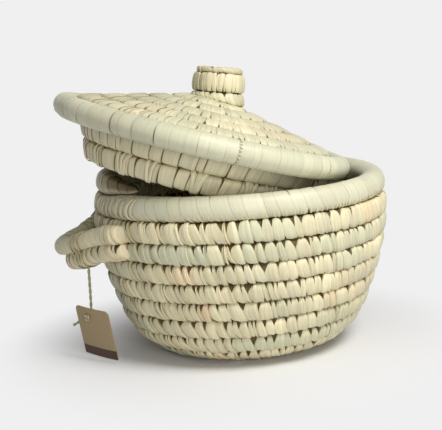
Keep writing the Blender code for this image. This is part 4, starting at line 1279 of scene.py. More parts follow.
class BASKET_OT_bowl(Operator):
    """Wraps the coil of the bowl, from the middle of its base up to the rim"""
    bl_idname = "basket.bowl"
    bl_label = "Bowl"

    def execute(self, context):
        scene, sizes = context.scene, context.scene.basket_sizes
        spans = (("base", BASE_FIRST_TURN, BASE_END_TURN, BASE_BLUNT),
                 ("lower_wall", BASE_END_TURN, LOWER_WALL_END_TURN, OPEN_ENDS),
                 ("upper_wall", LOWER_WALL_END_TURN, BOWL_TURNS, OPEN_ENDS))
        for number, (name, first, last, blunt) in enumerate(spans):
            course = Course(place_on_bowl, bowl_station, first, last, SQUARE_WALL, blunt=blunt)
            dress_course(scene, name, course, WALL_WRAP, sizes.wall_strip, wall_leaf(scene),
                         "basket", [name + "_coil"], seed=11 + 10 * number)
        coil_heart("base_heart", COIL_PITCH / 2.0 - PIECE_GAP, 0.0, COIL_DEPTH, wall_leaf(scene),
                   "basket", ["base_start_knot"], None)
        rim = Course(place_on_bowl, rim_station, 0.0, 1.0 + RIM_OVERLAP / FULL_TURN, SQUARE_RIM,
                     blunt=RIM_BLUNT)
        dress_course(scene, "rim", rim, RIM_WRAP, sizes.rim_strip, rim_leaf(scene), "basket",
                     ["rim_leaf_wrap", "rim_grass_core"], seed=51, free_top=True,
                     end_shade_length=RIM_END_SHADE)
        chance = np.random.default_rng(57)
        self.sew_rim(scene, rim, chance)
        self.sew_rim_start(scene, rim, chance)
        return {"FINISHED"}

    def sew_rim(self, scene, rim, chance):
        """Short slanting stitches along the foot of the rim."""
        strips = []
        steps = SHORT_STEPS
        lift = stitch_lift(steps, *RIM_STITCH_LIFT)
        distance = RIM_STITCH_FIRST
        while distance < rim.reach * RIM_STITCH_SHARE:
            slant = chance.normal(*RIM_STITCH_SLANT)
            ends = (chance.uniform(*RIM_STITCH_TOP), RIM_STITCH_FOOT)
            thetas = np.radians(np.interp(steps, (0.0, 1.0), ends))
            half = chance.uniform(*RIM_STITCH_HALF) * spindle(np.clip(steps, 0.08, 0.9), 0.6)
            strips.append(course_strip(rim, distance + slant * steps, thetas, half, lift))
            distance += chance.uniform(*RIM_STITCH_SPACING)
        lay_strips("rim_stitches", strips, wall_leaf(scene), "basket", seed=58, level=0.6)

    def sew_rim_start(self, scene, rim, chance):
        """Wider claws, bowed, over the start of the rim."""
        claws = []
        steps = LONG_STEPS
        lift = stitch_lift(steps, *RIM_CLAW_LIFT)
        distance = RIM_CLAW_FIRST
        while distance < RIM_CLAW_LAST:
            bow = chance.uniform(*RIM_CLAW_BOW) * np.abs(2.0 * steps - 1.05) ** 1.7
            top = chance.uniform(*RIM_CLAW_TOP)
            thetas = np.radians(top * (1.0 - steps) + RIM_CLAW_FOOT * steps)
            half = chance.uniform(*RIM_CLAW_HALF) * spindle(0.10 + 0.75 * steps, 0.7)
            claws.append(course_strip(rim, distance + bow, thetas, half, lift))
            distance += chance.uniform(*RIM_CLAW_SPACING)
        lay_strips("rim_start_stitches", claws, wall_leaf(scene), "basket", seed=59, level=0.5)


# The handle: the rows of the wall that its coils follow, how much wider than elsewhere its strips
# are, how far each coil swells towards the wall and closes the groove to the other, and its tints
# at its start and its end
HANDLE_UPPER_ROW = 11
HANDLE_LOWER_ROW = 10
HANDLE_STRIP_SHARE = 1.4
HANDLE_UPPER_SWELL = (0.0019, -0.0006)
HANDLE_LOWER_SWELL = (0.0, 0.0012)
HANDLE_UPPER_TINT = (-0.22, 0.20)
HANDLE_LOWER_TINT = (0.04, 0.16)

# Strips that bind its coils together: share along the handle, skew and half width of each, how far
# round each goes, in turns, with how many points, and how high it lies
BINDINGS = ((0.62, 0.0012, 0.0019), (0.655, -0.0006, 0.0014), (0.69, 0.0016, 0.0018),
            (0.10, 0.0008, 0.0016), (0.13, -0.0010, 0.0014))
BINDING_TURNS = 1.04
BINDING_POINTS = 40
BINDING_LIFT = 0.0007

# Strips over each end of it: how many, where the first starts from the wall and how that varies,
# their spacing, half width, slant, angles round the section in degrees, and lift
END_STITCHES = 4
END_STITCH_START = -0.0115
END_STITCH_SPREAD = 0.0008
END_STITCH_SPACING = 0.0042
END_STITCH_HALF = (0.0016, 0.0026)
END_STITCH_SLANT = (0.0040, 0.0075)
END_STITCH_ANGLES = (82.0, -68.0)
END_STITCH_LIFT = (0.0004, 0.0, 0.0008, 0.85)


class BASKET_OT_handle(Operator):
    """Wraps the two coils of the handle, and binds them together and to the wall"""
    bl_idname = "basket.handle"
    bl_label = "Handle"

    def execute(self, context):
        scene, sizes = context.scene, context.scene.basket_sizes
        first, last = -HANDLE_DIVE_SPAN, 1.0 + HANDLE_DIVE_SPAN
        upper = Course(handle_place(HANDLE_UPPER_ROW, HANDLE_UPPER_BULGE, HANDLE_UPPER_DROP),
                       handle_station(*HANDLE_UPPER_SWELL), first, last, SQUARE_HANDLE_UPPER)
        lower = Course(handle_place(HANDLE_LOWER_ROW, HANDLE_LOWER_BULGE, HANDLE_LOWER_DROP),
                       handle_station(*HANDLE_LOWER_SWELL), first, last, SQUARE_HANDLE_LOWER)
        width = sizes.handle_strip * HANDLE_STRIP_SHARE
        dress_course(scene, "handle_upper", upper, HANDLE_UPPER_WRAP, width, wall_leaf(scene),
                     "basket", ["handle_upper_leaf_wrap", "handle_upper_grass_core"],
                     seed=61, tint=HANDLE_UPPER_TINT, free_top=True, free_foot=True)
        dress_course(scene, "handle_lower", lower, HANDLE_LOWER_WRAP, width, wall_leaf(scene),
                     "basket", ["handle_lower_coil"],
                     seed=71, tint=HANDLE_LOWER_TINT, free_top=True, free_foot=True)
        self.bind(scene, upper, lower)
        self.sew_ends(scene, upper, lower)
        return {"FINISHED"}

    def bind(self, scene, upper, lower):
        """Narrow strips pulled tight round both coils, past the middle and near the start."""
        strips = []
        shares = np.linspace(0.0, 1.0, BINDING_POINTS)
        directions = FULL_TURN * np.linspace(0.0, BINDING_TURNS, BINDING_POINTS)
        for share, skew, half in BINDINGS:
            azimuth = HANDLE_START_ANGLE + HANDLE_SPAN * share
            outward = np.array((math.cos(azimuth), math.sin(azimuth), 0.0))
            aim = (np.cos(directions)[:, None] * outward
                   + np.sin(directions)[:, None] * np.array((0.0, 0.0, 1.0)))
            rings = []
            for course in (upper, lower):
                distance = np.interp(share, course.turns, course.distances) + 0.0 * directions
                rings.append(course.skin(distance, FULL_TURN * shares, BINDING_LIFT)[0])
            outline = np.concatenate(rings)
            picked = outline[np.argmax(aim @ outline.T, axis=1)]
            sideways = np.cross(outward, (0.0, 0.0, 1.0))
            picked = picked + sideways * (skew * np.sin(directions))[:, None]
            smoothed = (np.roll(picked, 1, 0) + 2.0 * picked + np.roll(picked, -1, 0)) / 4.0
            smoothed[[0, -1]] = picked[[0, -1]]
            strips.append((smoothed, aim, np.full(len(picked), half)))
        lay_strips("handle_binding", strips, wall_leaf(scene), "basket", seed=77, level=0.6)

    def sew_ends(self, scene, upper, lower):
        """Slanting strips over each end of the handle, where it is sewn to the wall."""
        chance = np.random.default_rng(79)
        strips = []
        steps = LONG_STEPS
        top, foot = END_STITCH_ANGLES
        thetas = np.radians(top - (top - foot) * steps)
        lift = stitch_lift(steps, *END_STITCH_LIFT)
        for course in (upper, lower):
            first, last = np.interp((0.0, 1.0), course.turns, course.distances)
            for wall, way in ((last, 1.0), (first, -1.0)):
                for k in range(END_STITCHES):
                    start = END_STITCH_SPACING * k + END_STITCH_START
                    start = wall + way * (start + chance.normal(0.0, END_STITCH_SPREAD))
                    slant = way * chance.uniform(*END_STITCH_SLANT)
                    half = chance.uniform(*END_STITCH_HALF) * (0.6 + 0.5 * steps)
                    half[[0, -1]] *= 0.4
                    strips.append(course_strip(course, start + slant * steps, thetas, half, lift))
        lay_strips("handle_stitches", strips, wall_leaf(scene), "basket", seed=80, level=0.6)


# The coils of crown and flange start this far along, in turns, and go on this far past their rows
ROWS_START = 0.05
CROWN_TAIL = 0.25
FLANGE_TAIL = 0.2

# Tints of the lid's coils, and the size of its heart as a share of its plug
CROWN_TINT = (-0.11, -0.11)
FLANGE_TINT = (-0.13, -0.13)
LID_RIM_TINT = (-0.10, -0.10)
LID_HEART_SHARE = 0.98

# The seam of the lid's rim: where it is, its angles round the section in degrees, its half width
# and lift, how it waves, and the spacing, reach, tilt, half width and lift of its stitches
SEAM_AZIMUTH = math.radians(284.5)
SEAM_ANGLES = (-50.0, 185.0)
SEAM_POINTS = 15
SEAM_HALF = 0.0007
SEAM_LIFT = 0.00050
SEAM_WAVE = 0.0004
SEAM_WAVE_RATE = 7.0
SEAM_STITCH_ANGLES = (-44.0, 176.0, 15.5)
SEAM_STITCH_POINTS = 7
SEAM_STITCH_REACH = (0.0008, 0.0015)
SEAM_STITCH_TILT = (-1.0, 6.0)
SEAM_STITCH_HALF = 0.0006
SEAM_STITCH_LIFT = 0.0009

# Groups of stitches over the crown: where they start, how far from its end they stop, how many are
# in a group, spacing in a group and between groups, half width, slant, angles, lift and how deep
# the two ends sink
CROWN_STITCH_FIRST = 0.03
STITCHES_STOP = 0.02
CROWN_STITCH_GROUP = (2, 5)
CROWN_STITCH_SPACING = (0.0026, 0.0048)
CROWN_GROUP_SPACING = (0.010, 0.034)
CROWN_STITCH_HALF = (0.0009, 0.0017)
CROWN_STITCH_SLANT = (0.0010, 0.0008)
CROWN_STITCH_TOP = (20.0, 48.0)
CROWN_STITCH_FOOT = (96.0, 108.0)
CROWN_STITCH_LIFT = 0.0010
CROWN_STITCH_SINK = 0.0016

# Stitches over the lower row of the flange, that fan out: where the first is, as a share of its
# length, the slants of a fan of three and of two, their spread, spacing, half width, angles and
# lift, and how deep and over which share of their length they sink at the hole
FLANGE_STITCH_FIRST = 0.47
FLANGE_FANS = ((-0.0015, 0.0045, 0.0100), (0.0, 0.0065))
FLANGE_FAN_SPREAD = 0.0008
FLANGE_STITCH_SPACING = (0.020, 0.046)
FLANGE_STITCH_HALF = (0.0014, 0.0022)
FLANGE_STITCH_ANGLES = (96.0, -80.0)
FLANGE_STITCH_LIFT = 0.0010
FLANGE_STITCH_SINK = 0.0012
FLANGE_STITCH_ROOT = 0.1


class BASKET_OT_lid(Operator):
    """Wraps the crown, the rim and the flange of the lid"""
    bl_idname = "basket.lid"
    bl_label = "Lid"

    def execute(self, context):
        scene, sizes = context.scene, context.scene.basket_sizes
        crown = row_station(CROWN_PLUG_LENGTH, CROWN_PITCH, CROWN_ROWS, CROWN_JOG_START,
                            CROWN_JOG, CROWN_COIL_DEPTH)
        flange = row_station(0.0, FLANGE_PITCH, FLANGE_ROWS, FLANGE_JOG_START, FLANGE_JOG,
                             FLANGE_COIL_DEPTH)
        rim = ring_station(math.pi / 2.0, LID_RIM_LENGTH, LID_RIM_WIDTH / 2.0, LID_RIM_DEPTH / 2.0)
        crown = Course(place_on_crown, crown, ROWS_START, CROWN_ROWS + CROWN_TAIL, SQUARE_LID_ROWS,
                       LID_MATRIX, LID_BLUNT)
        flange = Course(place_on_flange, flange, ROWS_START, FLANGE_ROWS + FLANGE_TAIL,
                        SQUARE_LID_ROWS, LID_MATRIX, LID_BLUNT)
        rim = Course(place_on_crown, rim, 0.0, 1.0, SQUARE_LID_RIM, LID_MATRIX)
        dress_course(scene, "lid_crown", crown, CROWN_WRAP, sizes.crown_strip, wall_leaf(scene),
                     "lid", ["lid_crown_coil"], seed=101, tint=CROWN_TINT)
        dress_course(scene, "lid_flange", flange, FLANGE_WRAP, sizes.flange_strip, wall_leaf(scene),
                     "lid", ["lid_flange_coil"], seed=111, tint=FLANGE_TINT)
        dress_course(scene, "lid_rim", rim, LID_RIM_WRAP, sizes.rim_strip, rim_leaf(scene), "lid",
                     ["lid_rim_leaf_wrap", "lid_rim_grass_core"], seed=121,
                     tint=LID_RIM_TINT, free_top=True)
        corner = place_on_crown(np.array(CROWN_PLUG_LENGTH), -CROWN_COIL_DEPTH / 4.0, 0.0)
        coil_heart("lid_heart", float(corner[0]) * LID_HEART_SHARE - PIECE_GAP, float(corner[2]),
                   knob_foot_height() - PIECE_GAP, grass_leaf(scene), "lid",
                   ["lid_start_knot"], LID_MATRIX)
        self.sew_flange(scene, flange)
        self.sew_seam(scene, rim)
        self.sew_crown(scene, crown)
        return {"FINISHED"}

    def sew_seam(self, scene, rim):
        """The seam where the two ends of the lid's rim meet, with short stitches across it."""
        chance = np.random.default_rng(127)
        seam = rim.distance_at(SEAM_AZIMUTH)
        steps = np.linspace(0.0, 1.0, SEAM_POINTS)
        thetas = np.radians(SEAM_ANGLES[0] + (SEAM_ANGLES[1] - SEAM_ANGLES[0]) * steps)
        strips = [course_strip(rim, seam + SEAM_WAVE * np.sin(SEAM_WAVE_RATE * steps), thetas,
                               np.full(SEAM_POINTS, SEAM_HALF), np.full(SEAM_POINTS, SEAM_LIFT))]
        lay_strips("lid_rim_seam", strips, grass_leaf(scene), "lid", seed=128, level=0.1)
        across = np.linspace(-1.0, 1.0, SEAM_STITCH_POINTS)
        half = np.full(SEAM_STITCH_POINTS, SEAM_STITCH_HALF)
        lift = SEAM_STITCH_LIFT - SEAM_STITCH_LIFT * np.abs(across) ** 3
        stitches = []
        for theta in np.arange(*SEAM_STITCH_ANGLES):
            reach = chance.uniform(*SEAM_STITCH_REACH)
            tilt = chance.uniform(*SEAM_STITCH_TILT)
            thetas = np.radians(theta + tilt * across)
            stitches.append(course_strip(rim, seam + reach * across, thetas, half, lift))
        lay_strips("lid_rim_seam_stitches", stitches, rim_leaf(scene), "lid", seed=129, level=0.7)

    def sew_crown(self, scene, crown):
        """Groups of short stitches over the grooves between the rows of the crown."""
        chance = np.random.default_rng(107)
        strips = []
        steps = SHORT_STEPS
        lift = CROWN_STITCH_LIFT - CROWN_STITCH_SINK * (np.abs(2.0 * steps - 1.0) > 0.9)
        distance = CROWN_STITCH_FIRST
        while distance < crown.reach - STITCHES_STOP:
            for _ in range(chance.integers(*CROWN_STITCH_GROUP)):
                top, foot = chance.uniform(*CROWN_STITCH_TOP), chance.uniform(*CROWN_STITCH_FOOT)
                half = chance.uniform(*CROWN_STITCH_HALF) * spindle(0.12 + 0.7 * steps, 0.6)
                slant = chance.normal(*CROWN_STITCH_SLANT)
                thetas = np.radians(top + (foot - top) * steps)
                strips.append(course_strip(crown, distance + slant * steps, thetas, half, lift))
                distance += chance.uniform(*CROWN_STITCH_SPACING)
            distance += chance.uniform(*CROWN_GROUP_SPACING)
        lay_strips("lid_crown_stitches", strips, wall_leaf(scene), "lid", seed=108, level=0.62)

    def sew_flange(self, scene, flange):
        """Stitches over the lower row of the flange, two or three that fan out from one hole."""
        chance = np.random.default_rng(117)
        strips = []
        steps = LONG_STEPS
        top, foot = FLANGE_STITCH_ANGLES
        thetas = np.radians(top - (top - foot) * steps)
        root = smooth_step((FLANGE_STITCH_ROOT - steps) / FLANGE_STITCH_ROOT)
        lift = FLANGE_STITCH_LIFT - FLANGE_STITCH_SINK * root
        distance = flange.reach * FLANGE_STITCH_FIRST
        while distance < flange.reach - STITCHES_STOP:
            fan = FLANGE_FANS[0] if chance.random() < 0.5 else FLANGE_FANS[1]
            for slant in fan:
                slant += chance.normal(0.0, FLANGE_FAN_SPREAD)
                half = chance.uniform(*FLANGE_STITCH_HALF) * (0.6 + 0.6 * steps)
                half[0] *= 0.3
                strips.append(course_strip(flange, distance + slant * steps, thetas, half, lift))
            distance += chance.uniform(*FLANGE_STITCH_SPACING)
        lay_strips("lid_flange_stitches", strips, wall_leaf(scene), "lid", seed=118, level=0.72)


# The stalks that stuff the knob: radius, rows to each side, spacing along and between rows as
# shares of the radius, spread of their tops, sides, and how their tops are rounded
STALK_RADIUS = 0.00125
STALK_ROWS = 12
STALK_SPACING = (2.02, 1.75)
STALK_TOP_SPREAD = 0.0007
STALK_SIDES = 7
STALK_TOPS = ((0.0004, 1.0), (0.0, 0.72), (0.0005, 0.35))
STALK_GRAIN = 0.7

# The knob: azimuth where its coils start, sections of its coils, the radius of the stuffing as a
# share of the room for it, and the height of the stalks as a share of the cap
KNOB_START_ANGLE = math.radians(75.0)
SQUARE_COLLAR = 0.6
SQUARE_BARREL = 0.52
SQUARE_CAP = 0.55
STUFFING_RADIUS = 0.985
STUFFING_HEIGHT = 0.8


class BASKET_OT_knob(Operator):
    """Wraps the collar, the barrel and the cap of the knob, and stuffs it with stalks"""
    bl_idname = "basket.knob"
    bl_label = "Knob"

    def execute(self, context):
        scene, sizes = context.scene, context.scene.basket_sizes
        half_depth = KNOB_COIL_DEPTH / 2.0
        barrel_low = KNOB_COLLAR_HEIGHT + PIECE_GAP
        cap_low = barrel_low + KNOB_BARREL_HEIGHT + PIECE_GAP
        # name, placing function, middle and half height, wrap, share of the width, section
        rings = (
            ("knob_collar", place_on_collar, KNOB_COLLAR_HEIGHT / 2.0, KNOB_COLLAR_HEIGHT / 2.0,
             COLLAR_WRAP, 1.25, SQUARE_COLLAR),
            ("knob_barrel", place_on_barrel, barrel_low + KNOB_BARREL_HEIGHT / 2.0,
             KNOB_BARREL_HEIGHT / 2.0, BARREL_WRAP, 1.0, SQUARE_BARREL),
            ("knob_cap", knob_place(KNOB_CAP_RADIUS), cap_low + KNOB_CAP_HEIGHT / 2.0,
             KNOB_CAP_HEIGHT / 2.0, CAP_WRAP, 1.1, SQUARE_CAP),
        )
        for number, (name, place, middle, half, wrap, share, squareness) in enumerate(rings):
            station = ring_station(KNOB_START_ANGLE, middle, half, half_depth)
            course = Course(place, station, 0.0, 1.0, squareness, KNOB_MATRIX)
            dress_course(scene, name, course, wrap, sizes.knob_strip * share, wall_leaf(scene),
                         "lid", [name + "_coil"], seed=131 + 10 * number)
        inner = KNOB_CAP_RADIUS - KNOB_COIL_DEPTH
        self.stuff(scene, inner * STUFFING_RADIUS - PIECE_GAP,
                   inner * math.tan(abs(KNOB_LEAN)) + PIECE_GAP,
                   cap_low + KNOB_CAP_HEIGHT * STUFFING_HEIGHT)
        return {"FINISHED"}

    def stuff(self, scene, radius, low, high):
        """Cut stalks stood on end, side by side."""
        chance = np.random.default_rng(171)
        stalks = []
        turn = FULL_TURN * np.arange(STALK_SIDES) / STALK_SIDES
        for row in range(-STALK_ROWS, STALK_ROWS + 1):
            for column in range(-STALK_ROWS, STALK_ROWS + 1):
                x = (column + 0.5 * (row % 2)) * STALK_RADIUS * STALK_SPACING[0]
                y = row * STALK_RADIUS * STALK_SPACING[1]
                if math.hypot(x, y) + STALK_RADIUS > radius:
                    continue
                top = high - abs(chance.normal(0.0, STALK_TOP_SPREAD))
                girths = [(low, 1.0)] + [(top - below, share) for below, share in STALK_TOPS]
                stalks.append(np.stack([
                    np.stack((x + STALK_RADIUS * share * np.cos(turn),
                              y + STALK_RADIUS * share * np.sin(turn), level + 0.0 * turn), -1)
                    for level, share in girths]))
        rings = np.stack(stalks)
        place = np.stack((rings[..., 0] * STALK_GRAIN + rings[..., 1], rings[..., 2],
                          0.0 * rings[..., 0]), -1)
        make_bands("knob_stalks", moved(rings, KNOB_MATRIX), False, grass(scene), "lid",
                   ["knob_grass_core"], {"grass_place": place})


# Twine: steps between two points of its route, a strand's plain radius as a share of the twine's
# diameter, how far out the strands lie and how full they are as shares of that radius, the length
# of a step along it, and how far apart the two strands are in the pattern of stalks
ROUTE_STEPS = 4
STRAND_SHARE = 0.30
STRAND_OUT = 0.72
STRAND_FULLNESS = 1.26
TWINE_STEP = 0.0007
STRAND_PLACE = 9.0

# Knot on the card: its size, its flatness, how far it stands off the card, points along it and
# their spacing, radius of its strand and of the strand in the hole, and where that one ends
KNOT_SIZE = 0.00098
KNOT_FLATNESS = 0.9
KNOT_STANDS = 0.0016
KNOT_POINTS = 60
KNOT_STEP = 0.0006
KNOT_STRAND_RADIUS = 0.00095
SHANK_RADIUS = 0.0011
SHANK_END = -0.0004

# Card: where its back is, radius of its lower corners, points on each corner and round the hole,
# cuts across and up it, how far it curls at its sides and at its upper left corner, and how steep
# the line is from which that corner curls
CARD_BACK = -STRING_DIAMETER / 2.0 - PIECE_GAP - KNOT_DISC - PIECE_GAP
CARD_FOOT_CORNER = 0.0008
CORNER_POINTS = 7
HOLE_POINTS = 20
CARD_CUTS = (9, 11)
CARD_CURL = 0.0009
CARD_CORNER_CURL = 0.0016
CARD_CORNER_SLOPE = 0.6


class BASKET_OT_tag(Operator):
    """Hangs the tag: twine under the handle, its knot, and the kraft card"""
    bl_idname = "basket.tag"
    bl_label = "Hang tag"

    def execute(self, context):
        scene, sizes = context.scene, context.scene.basket_sizes
        card = self.cut_card(scene, sizes)
        knot = self.tie_knot(scene)
        path = smooth_route(STRING_ROUTE, ROUTE_STEPS)
        string = self.twist(scene, path, STRING_DIAMETER * STRAND_SHARE, sizes.twine_lay)
        return {"FINISHED"}

    def twist(self, scene, path, radius, lay):
        """Two strands twisted round a path."""
        steps = np.linalg.norm(np.diff(path, axis=0), axis=1)
        run = np.concatenate(([0.0], np.cumsum(steps)))
        even = np.linspace(0.0, run[-1], int(run[-1] / TWINE_STEP))
        line = np.stack([np.interp(even, run, path[:, k]) for k in range(3)], -1)
        frames = tube_rings(line, 1.0, 4)
        side, other = frames[:, 0] - line, frames[:, 1] - line
        turn = (FULL_TURN * even / lay)[:, None]
        strands = []
        for way in (1.0, -1.0):
            strand = line + way * STRAND_OUT * radius * (np.cos(turn) * side + np.sin(turn) * other)
            strands.append(tube_rings(strand, radius * STRAND_FULLNESS))
        rings = np.stack(strands)
        same = np.ones(rings.shape[:3])
        place = np.stack((np.arange(rings.shape[2]) * same, even[None, :, None] * same,
                          np.arange(2)[:, None, None] * STRAND_PLACE * same), -1)
        return make_bands("tag_twine", rings, False, twine(scene), "tag_string",
                          ["tag_string"], {"twine_place": place})

    def tie_knot(self, scene):
        """An overhand knot on the face of the card, and the strand through its hole."""
        t = np.linspace(0.0, FULL_TURN, KNOT_POINTS, endpoint=False)
        loops = np.stack((np.sin(t) + 2.0 * np.sin(2.0 * t), -KNOT_FLATNESS * np.sin(3.0 * t),
                          np.cos(t) - 2.0 * np.cos(2.0 * t)), -1) * KNOT_SIZE
        middle = CARD_BACK - TAG_THICKNESS - KNOT_STANDS
        loops[:, 1] += middle
        shank = np.linspace((0.0, middle, 0.0), (0.0, SHANK_END, 0.0), KNOT_POINTS)
        tubes = [tube_rings(loops, KNOT_STRAND_RADIUS), tube_rings(shank, SHANK_RADIUS)]
        rings = moved(np.stack(tubes), TAG_MATRIX)
        same = np.ones(rings.shape[:3])
        along = np.arange(KNOT_POINTS)[None, :, None] * KNOT_STEP
        place = np.stack((np.arange(rings.shape[2]) * same, along * same, 0.0 * same), -1)
        return make_bands("tag_twine_knot", rings, False, twine(scene), "tag_string",
                          ["tag_knot"], {"twine_place": place})

    def cut_card(self, scene, sizes):
        """A card with two rounded top corners and a hole, a little curled."""
        left, right = -TAG_HOLE_FROM_LEFT, TAG_WIDTH - TAG_HOLE_FROM_LEFT
        top, bottom = TAG_HOLE_FROM_TOP, TAG_HOLE_FROM_TOP - TAG_HEIGHT
        outline = []
        for x, z, start, radius in ((right, top, 0.0, TAG_CORNER), (left, top, 90.0, TAG_CORNER),
                                    (left, bottom, 180.0, CARD_FOOT_CORNER),
                                    (right, bottom, 270.0, CARD_FOOT_CORNER)):
            middle_x = x - math.copysign(radius, x)
            middle_z = z - radius if z > 0.0 else z + radius
            for k in range(CORNER_POINTS):
                angle = math.radians(start + 90.0 * k / (CORNER_POINTS - 1))
                outline.append((middle_x + radius * math.cos(angle),
                                middle_z + radius * math.sin(angle)))
        turns = [FULL_TURN * k / HOLE_POINTS for k in range(HOLE_POINTS)]
        hole = [(TAG_HOLE_RADIUS * math.cos(turn), TAG_HOLE_RADIUS * math.sin(turn))
                for turn in turns]
        bm = bmesh.new()
        layer = bm.verts.layers.float_vector.new("card_place")
        edges = []
        for loop in (outline, hole):
            corners = [bm.verts.new((x, 0.0, z)) for x, z in loop]
            edges += [bm.edges.new((corners[k - 1], corners[k])) for k in range(len(corners))]
        bmesh.ops.triangle_fill(bm, edges=edges, use_beauty=True)
        spans = ((0, left, right, CARD_CUTS[0]), (2, bottom, top, CARD_CUTS[1]))
        for axis, low, high, cuts in spans:
            for k in range(1, cuts):
                point, across = [0.0, 0.0, 0.0], [0.0, 0.0, 0.0]
                point[axis], across[axis] = low + (high - low) * k / cuts, 1.0
                bmesh.ops.bisect_plane(bm, geom=bm.verts[:] + bm.edges[:] + bm.faces[:],
                                       plane_co=point, plane_no=across)
        lifted = bmesh.ops.extrude_face_region(bm, geom=bm.faces[:])
        front = {item for item in lifted["geom"] if isinstance(item, bmesh.types.BMVert)}
        for vert in bm.verts:
            across, up = (vert.co.x - left) / TAG_WIDTH, vert.co.z / TAG_HEIGHT
            curl = CARD_CURL * (across - 0.5) ** 2 * 4.0
            curl += CARD_CORNER_CURL * max(0.0, up - across * CARD_CORNER_SLOPE)
            vert[layer] = (vert.co.x, vert.co.z - bottom, 1.0 if vert in front else 0.0)
            vert.co.y = CARD_BACK + curl - (TAG_THICKNESS if vert in front else 0.0)
        bm.transform(TAG_MATRIX)
        mesh = bpy.data.meshes.new("tag_kraft_card")
        bm.to_mesh(mesh)
        bm.free()
        colours = scene.basket_colours
        material = card_material("kraft_card", tuple(colours.card), tuple(colours.band), sizes.band)
        return finish_piece("tag_kraft_card", mesh, material, "tag_card", ["tag_card"],
                            SHARP_CARD)


class BASKET_OT_stage(Operator):
    """Sets up the floor, the lamps and the camera"""
    bl_idname = "basket.stage"
    bl_label = "Stage"

    def execute(self, context):
        scene = context.scene
        scene.view_settings.view_transform = "Standard"
        add_camera(scene)
        add_floor(scene)
        add_lights(scene)
        return {"FINISHED"}


# The camera, as fitted to the photograph: lengths in metres and in pixels
CAMERA_ELEVATION = math.radians(8.36)
CAMERA_ROLL = math.radians(2.53)
CAMERA_DISTANCE = 1.0
CAMERA_TARGET = Vector((0.0, 0.0, 0.144))
SENSOR_WIDTH = 36.0
FOCAL_PIXELS = 1000.0
PHOTO_WIDTH = 442.0
PHOTO_HEIGHT = 430.0
TARGET_PIXEL = (240.0, 198.1)


def add_camera(scene):
    right = Vector((1.0, 0.0, 0.0))
    ahead = Vector((0.0, math.cos(CAMERA_ELEVATION), -math.sin(CAMERA_ELEVATION)))
    above = right.cross(ahead)
    across = right * math.cos(CAMERA_ROLL) - above * math.sin(CAMERA_ROLL)
    upward = right * math.sin(CAMERA_ROLL) + above * math.cos(CAMERA_ROLL)
    data = bpy.data.cameras.new("camera")
    data.sensor_width = SENSOR_WIDTH
    data.lens = SENSOR_WIDTH * FOCAL_PIXELS / PHOTO_WIDTH
    data.shift_x = (PHOTO_WIDTH / 2.0 - TARGET_PIXEL[0]) / PHOTO_WIDTH
    data.shift_y = (TARGET_PIXEL[1] - PHOTO_HEIGHT / 2.0) / PHOTO_WIDTH
    camera = bpy.data.objects.new("camera", data)
    place = CAMERA_TARGET - ahead * CAMERA_DISTANCE
    turn = Matrix((across, upward, -ahead)).transposed().to_4x4()
    camera.matrix_world = Matrix.Translation(place) @ turn
    scene.collection.objects.link(camera)
    scene.camera = camera


# The background's colour, the distances from the middle at which the floor starts and ends to fade
# into it, and the floor's size, roughness and shine
BACKGROUND = (0.871, 0.871, 0.871, 1.0)
FLOOR_FADE = (0.10, 0.27)
FLOOR_SIZE = 12.0
FLOOR_ROUGHNESS = 0.9
FLOOR_SPECULAR = 0.1

# Light from all round; where the lamps aim and how wide they are; and for each its name, place,
# power in watts and colour
SKY_COLOUR = (0.95, 0.97, 1.0, 1.0)
SKY_STRENGTH = 0.21
LAMP_TARGET = Vector((0.0, 0.0, 0.12))
LAMP_SIZE = 0.6
LAMPS = (("key", (0.56, -0.72, 1.22), 17.4, (1.0, 0.99, 0.97)),
         ("fill", (0.30, -1.40, 0.42), 6.4, (1.0, 0.995, 0.985)))


def background_rays(tree):
    """1 for the rays that see the background: from the camera, off gloss and through glass."""
    rays = node(tree, "ShaderNodeLightPath").outputs
    seen = combine(tree, "MAXIMUM", rays["Is Camera Ray"], rays["Is Glossy Ray"])
    return combine(tree, "MAXIMUM", seen, rays["Is Transmission Ray"])


def add_floor(scene):
    """A pale floor that keeps the shadow near the basket and fades into the background."""
    bpy.ops.mesh.primitive_plane_add(size=FLOOR_SIZE, location=(0.0, 0.0, 0.0))
    floor = bpy.context.object
    floor.name = "floor"
    material, tree, shader = new_material("floor")
    shader.inputs["Base Color"].default_value = (*scene.basket_colours.floor, 1.0)
    shader.inputs["Roughness"].default_value = FLOOR_ROUGHNESS
    shader.inputs["Specular IOR Level"].default_value = FLOOR_SPECULAR
    glow = node(tree, "ShaderNodeEmission", {"Color": BACKGROUND, "Strength": 1.0})
    place = node(tree, "ShaderNodeNewGeometry")
    reach = node(tree, "ShaderNodeVectorMath", {0: place.outputs["Position"]}, operation="LENGTH")
    fade = map_range(tree, reach.outputs["Value"], FLOOR_FADE, (0.0, 1.0), "SMOOTHSTEP")
    seen = combine(tree, "MULTIPLY", fade, background_rays(tree))
    mixed = node(tree, "ShaderNodeMixShader",
                 {"Fac": seen, 1: shader.outputs[0], 2: glow.outputs[0]})
    tree.links.new(mixed.outputs[0], tree.nodes["Material Output"].inputs["Surface"])
    floor.data.materials.append(material)


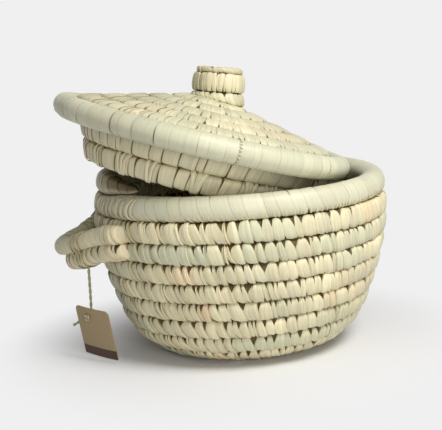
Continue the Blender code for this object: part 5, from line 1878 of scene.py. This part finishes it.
def add_area_lamp(name, place, power, colour):
    data = bpy.data.lights.new(name, "AREA")
    data.shape = "DISK"
    data.size = LAMP_SIZE
    data.energy = power
    data.color = colour
    lamp = bpy.data.objects.new(name, data)
    lamp.location = place
    lamp.rotation_euler = (LAMP_TARGET - Vector(place)).to_track_quat("-Z", "Y").to_euler()
    bpy.context.collection.objects.link(lamp)


def add_lights(scene):
    world = bpy.data.worlds.new("world")
    scene.world = world
    world.use_nodes = True
    tree = world.node_tree
    sky = tree.nodes["Background"]
    sky.inputs["Color"].default_value = SKY_COLOUR
    sky.inputs["Strength"].default_value = SKY_STRENGTH
    plain = node(tree, "ShaderNodeBackground", {"Color": BACKGROUND, "Strength": 1.0})
    mixed = node(tree, "ShaderNodeMixShader",
                 {"Fac": background_rays(tree), 1: sky.outputs[0], 2: plain.outputs[0]})
    tree.links.new(mixed.outputs[0], tree.nodes["World Output"].inputs["Surface"])
    for lamp in LAMPS:
        add_area_lamp(*lamp)


class BASKET_PT_panel(Panel):
    """Lists the pieces of the basket with their sizes and colours"""
    bl_idname = "BASKET_PT_panel"
    bl_label = "Basket"
    bl_space_type = "VIEW_3D"
    bl_region_type = "UI"
    bl_category = "Basket"

    def draw(self, context):
        for operator in OPERATORS:
            self.layout.operator(operator.bl_idname)
        for group in (context.scene.basket_sizes, context.scene.basket_colours):
            box = self.layout.box()
            for name in group.bl_rna.properties.keys():
                if name not in ("rna_type", "name"):
                    box.prop(group, name)


OPERATORS = (BASKET_OT_stage, BASKET_OT_tag, BASKET_OT_bowl, BASKET_OT_handle, BASKET_OT_lid,
             BASKET_OT_knob)
CLASSES = (BASKET_PG_sizes, BASKET_PG_colours, *OPERATORS, BASKET_PT_panel)


def register():
    for cls in CLASSES:
        bpy.utils.register_class(cls)
    bpy.types.Scene.basket_sizes = PointerProperty(type=BASKET_PG_sizes)
    bpy.types.Scene.basket_colours = PointerProperty(type=BASKET_PG_colours)


def unregister():
    del bpy.types.Scene.basket_colours
    del bpy.types.Scene.basket_sizes
    for cls in reversed(CLASSES):
        bpy.utils.unregister_class(cls)


def main():
    register()
    bpy.ops.basket.stage()
    bpy.ops.basket.tag()
    bpy.ops.basket.bowl()
    bpy.ops.basket.handle()
    bpy.ops.basket.lid()
    bpy.ops.basket.knob()
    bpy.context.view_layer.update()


if __name__ == "__main__":
    main()
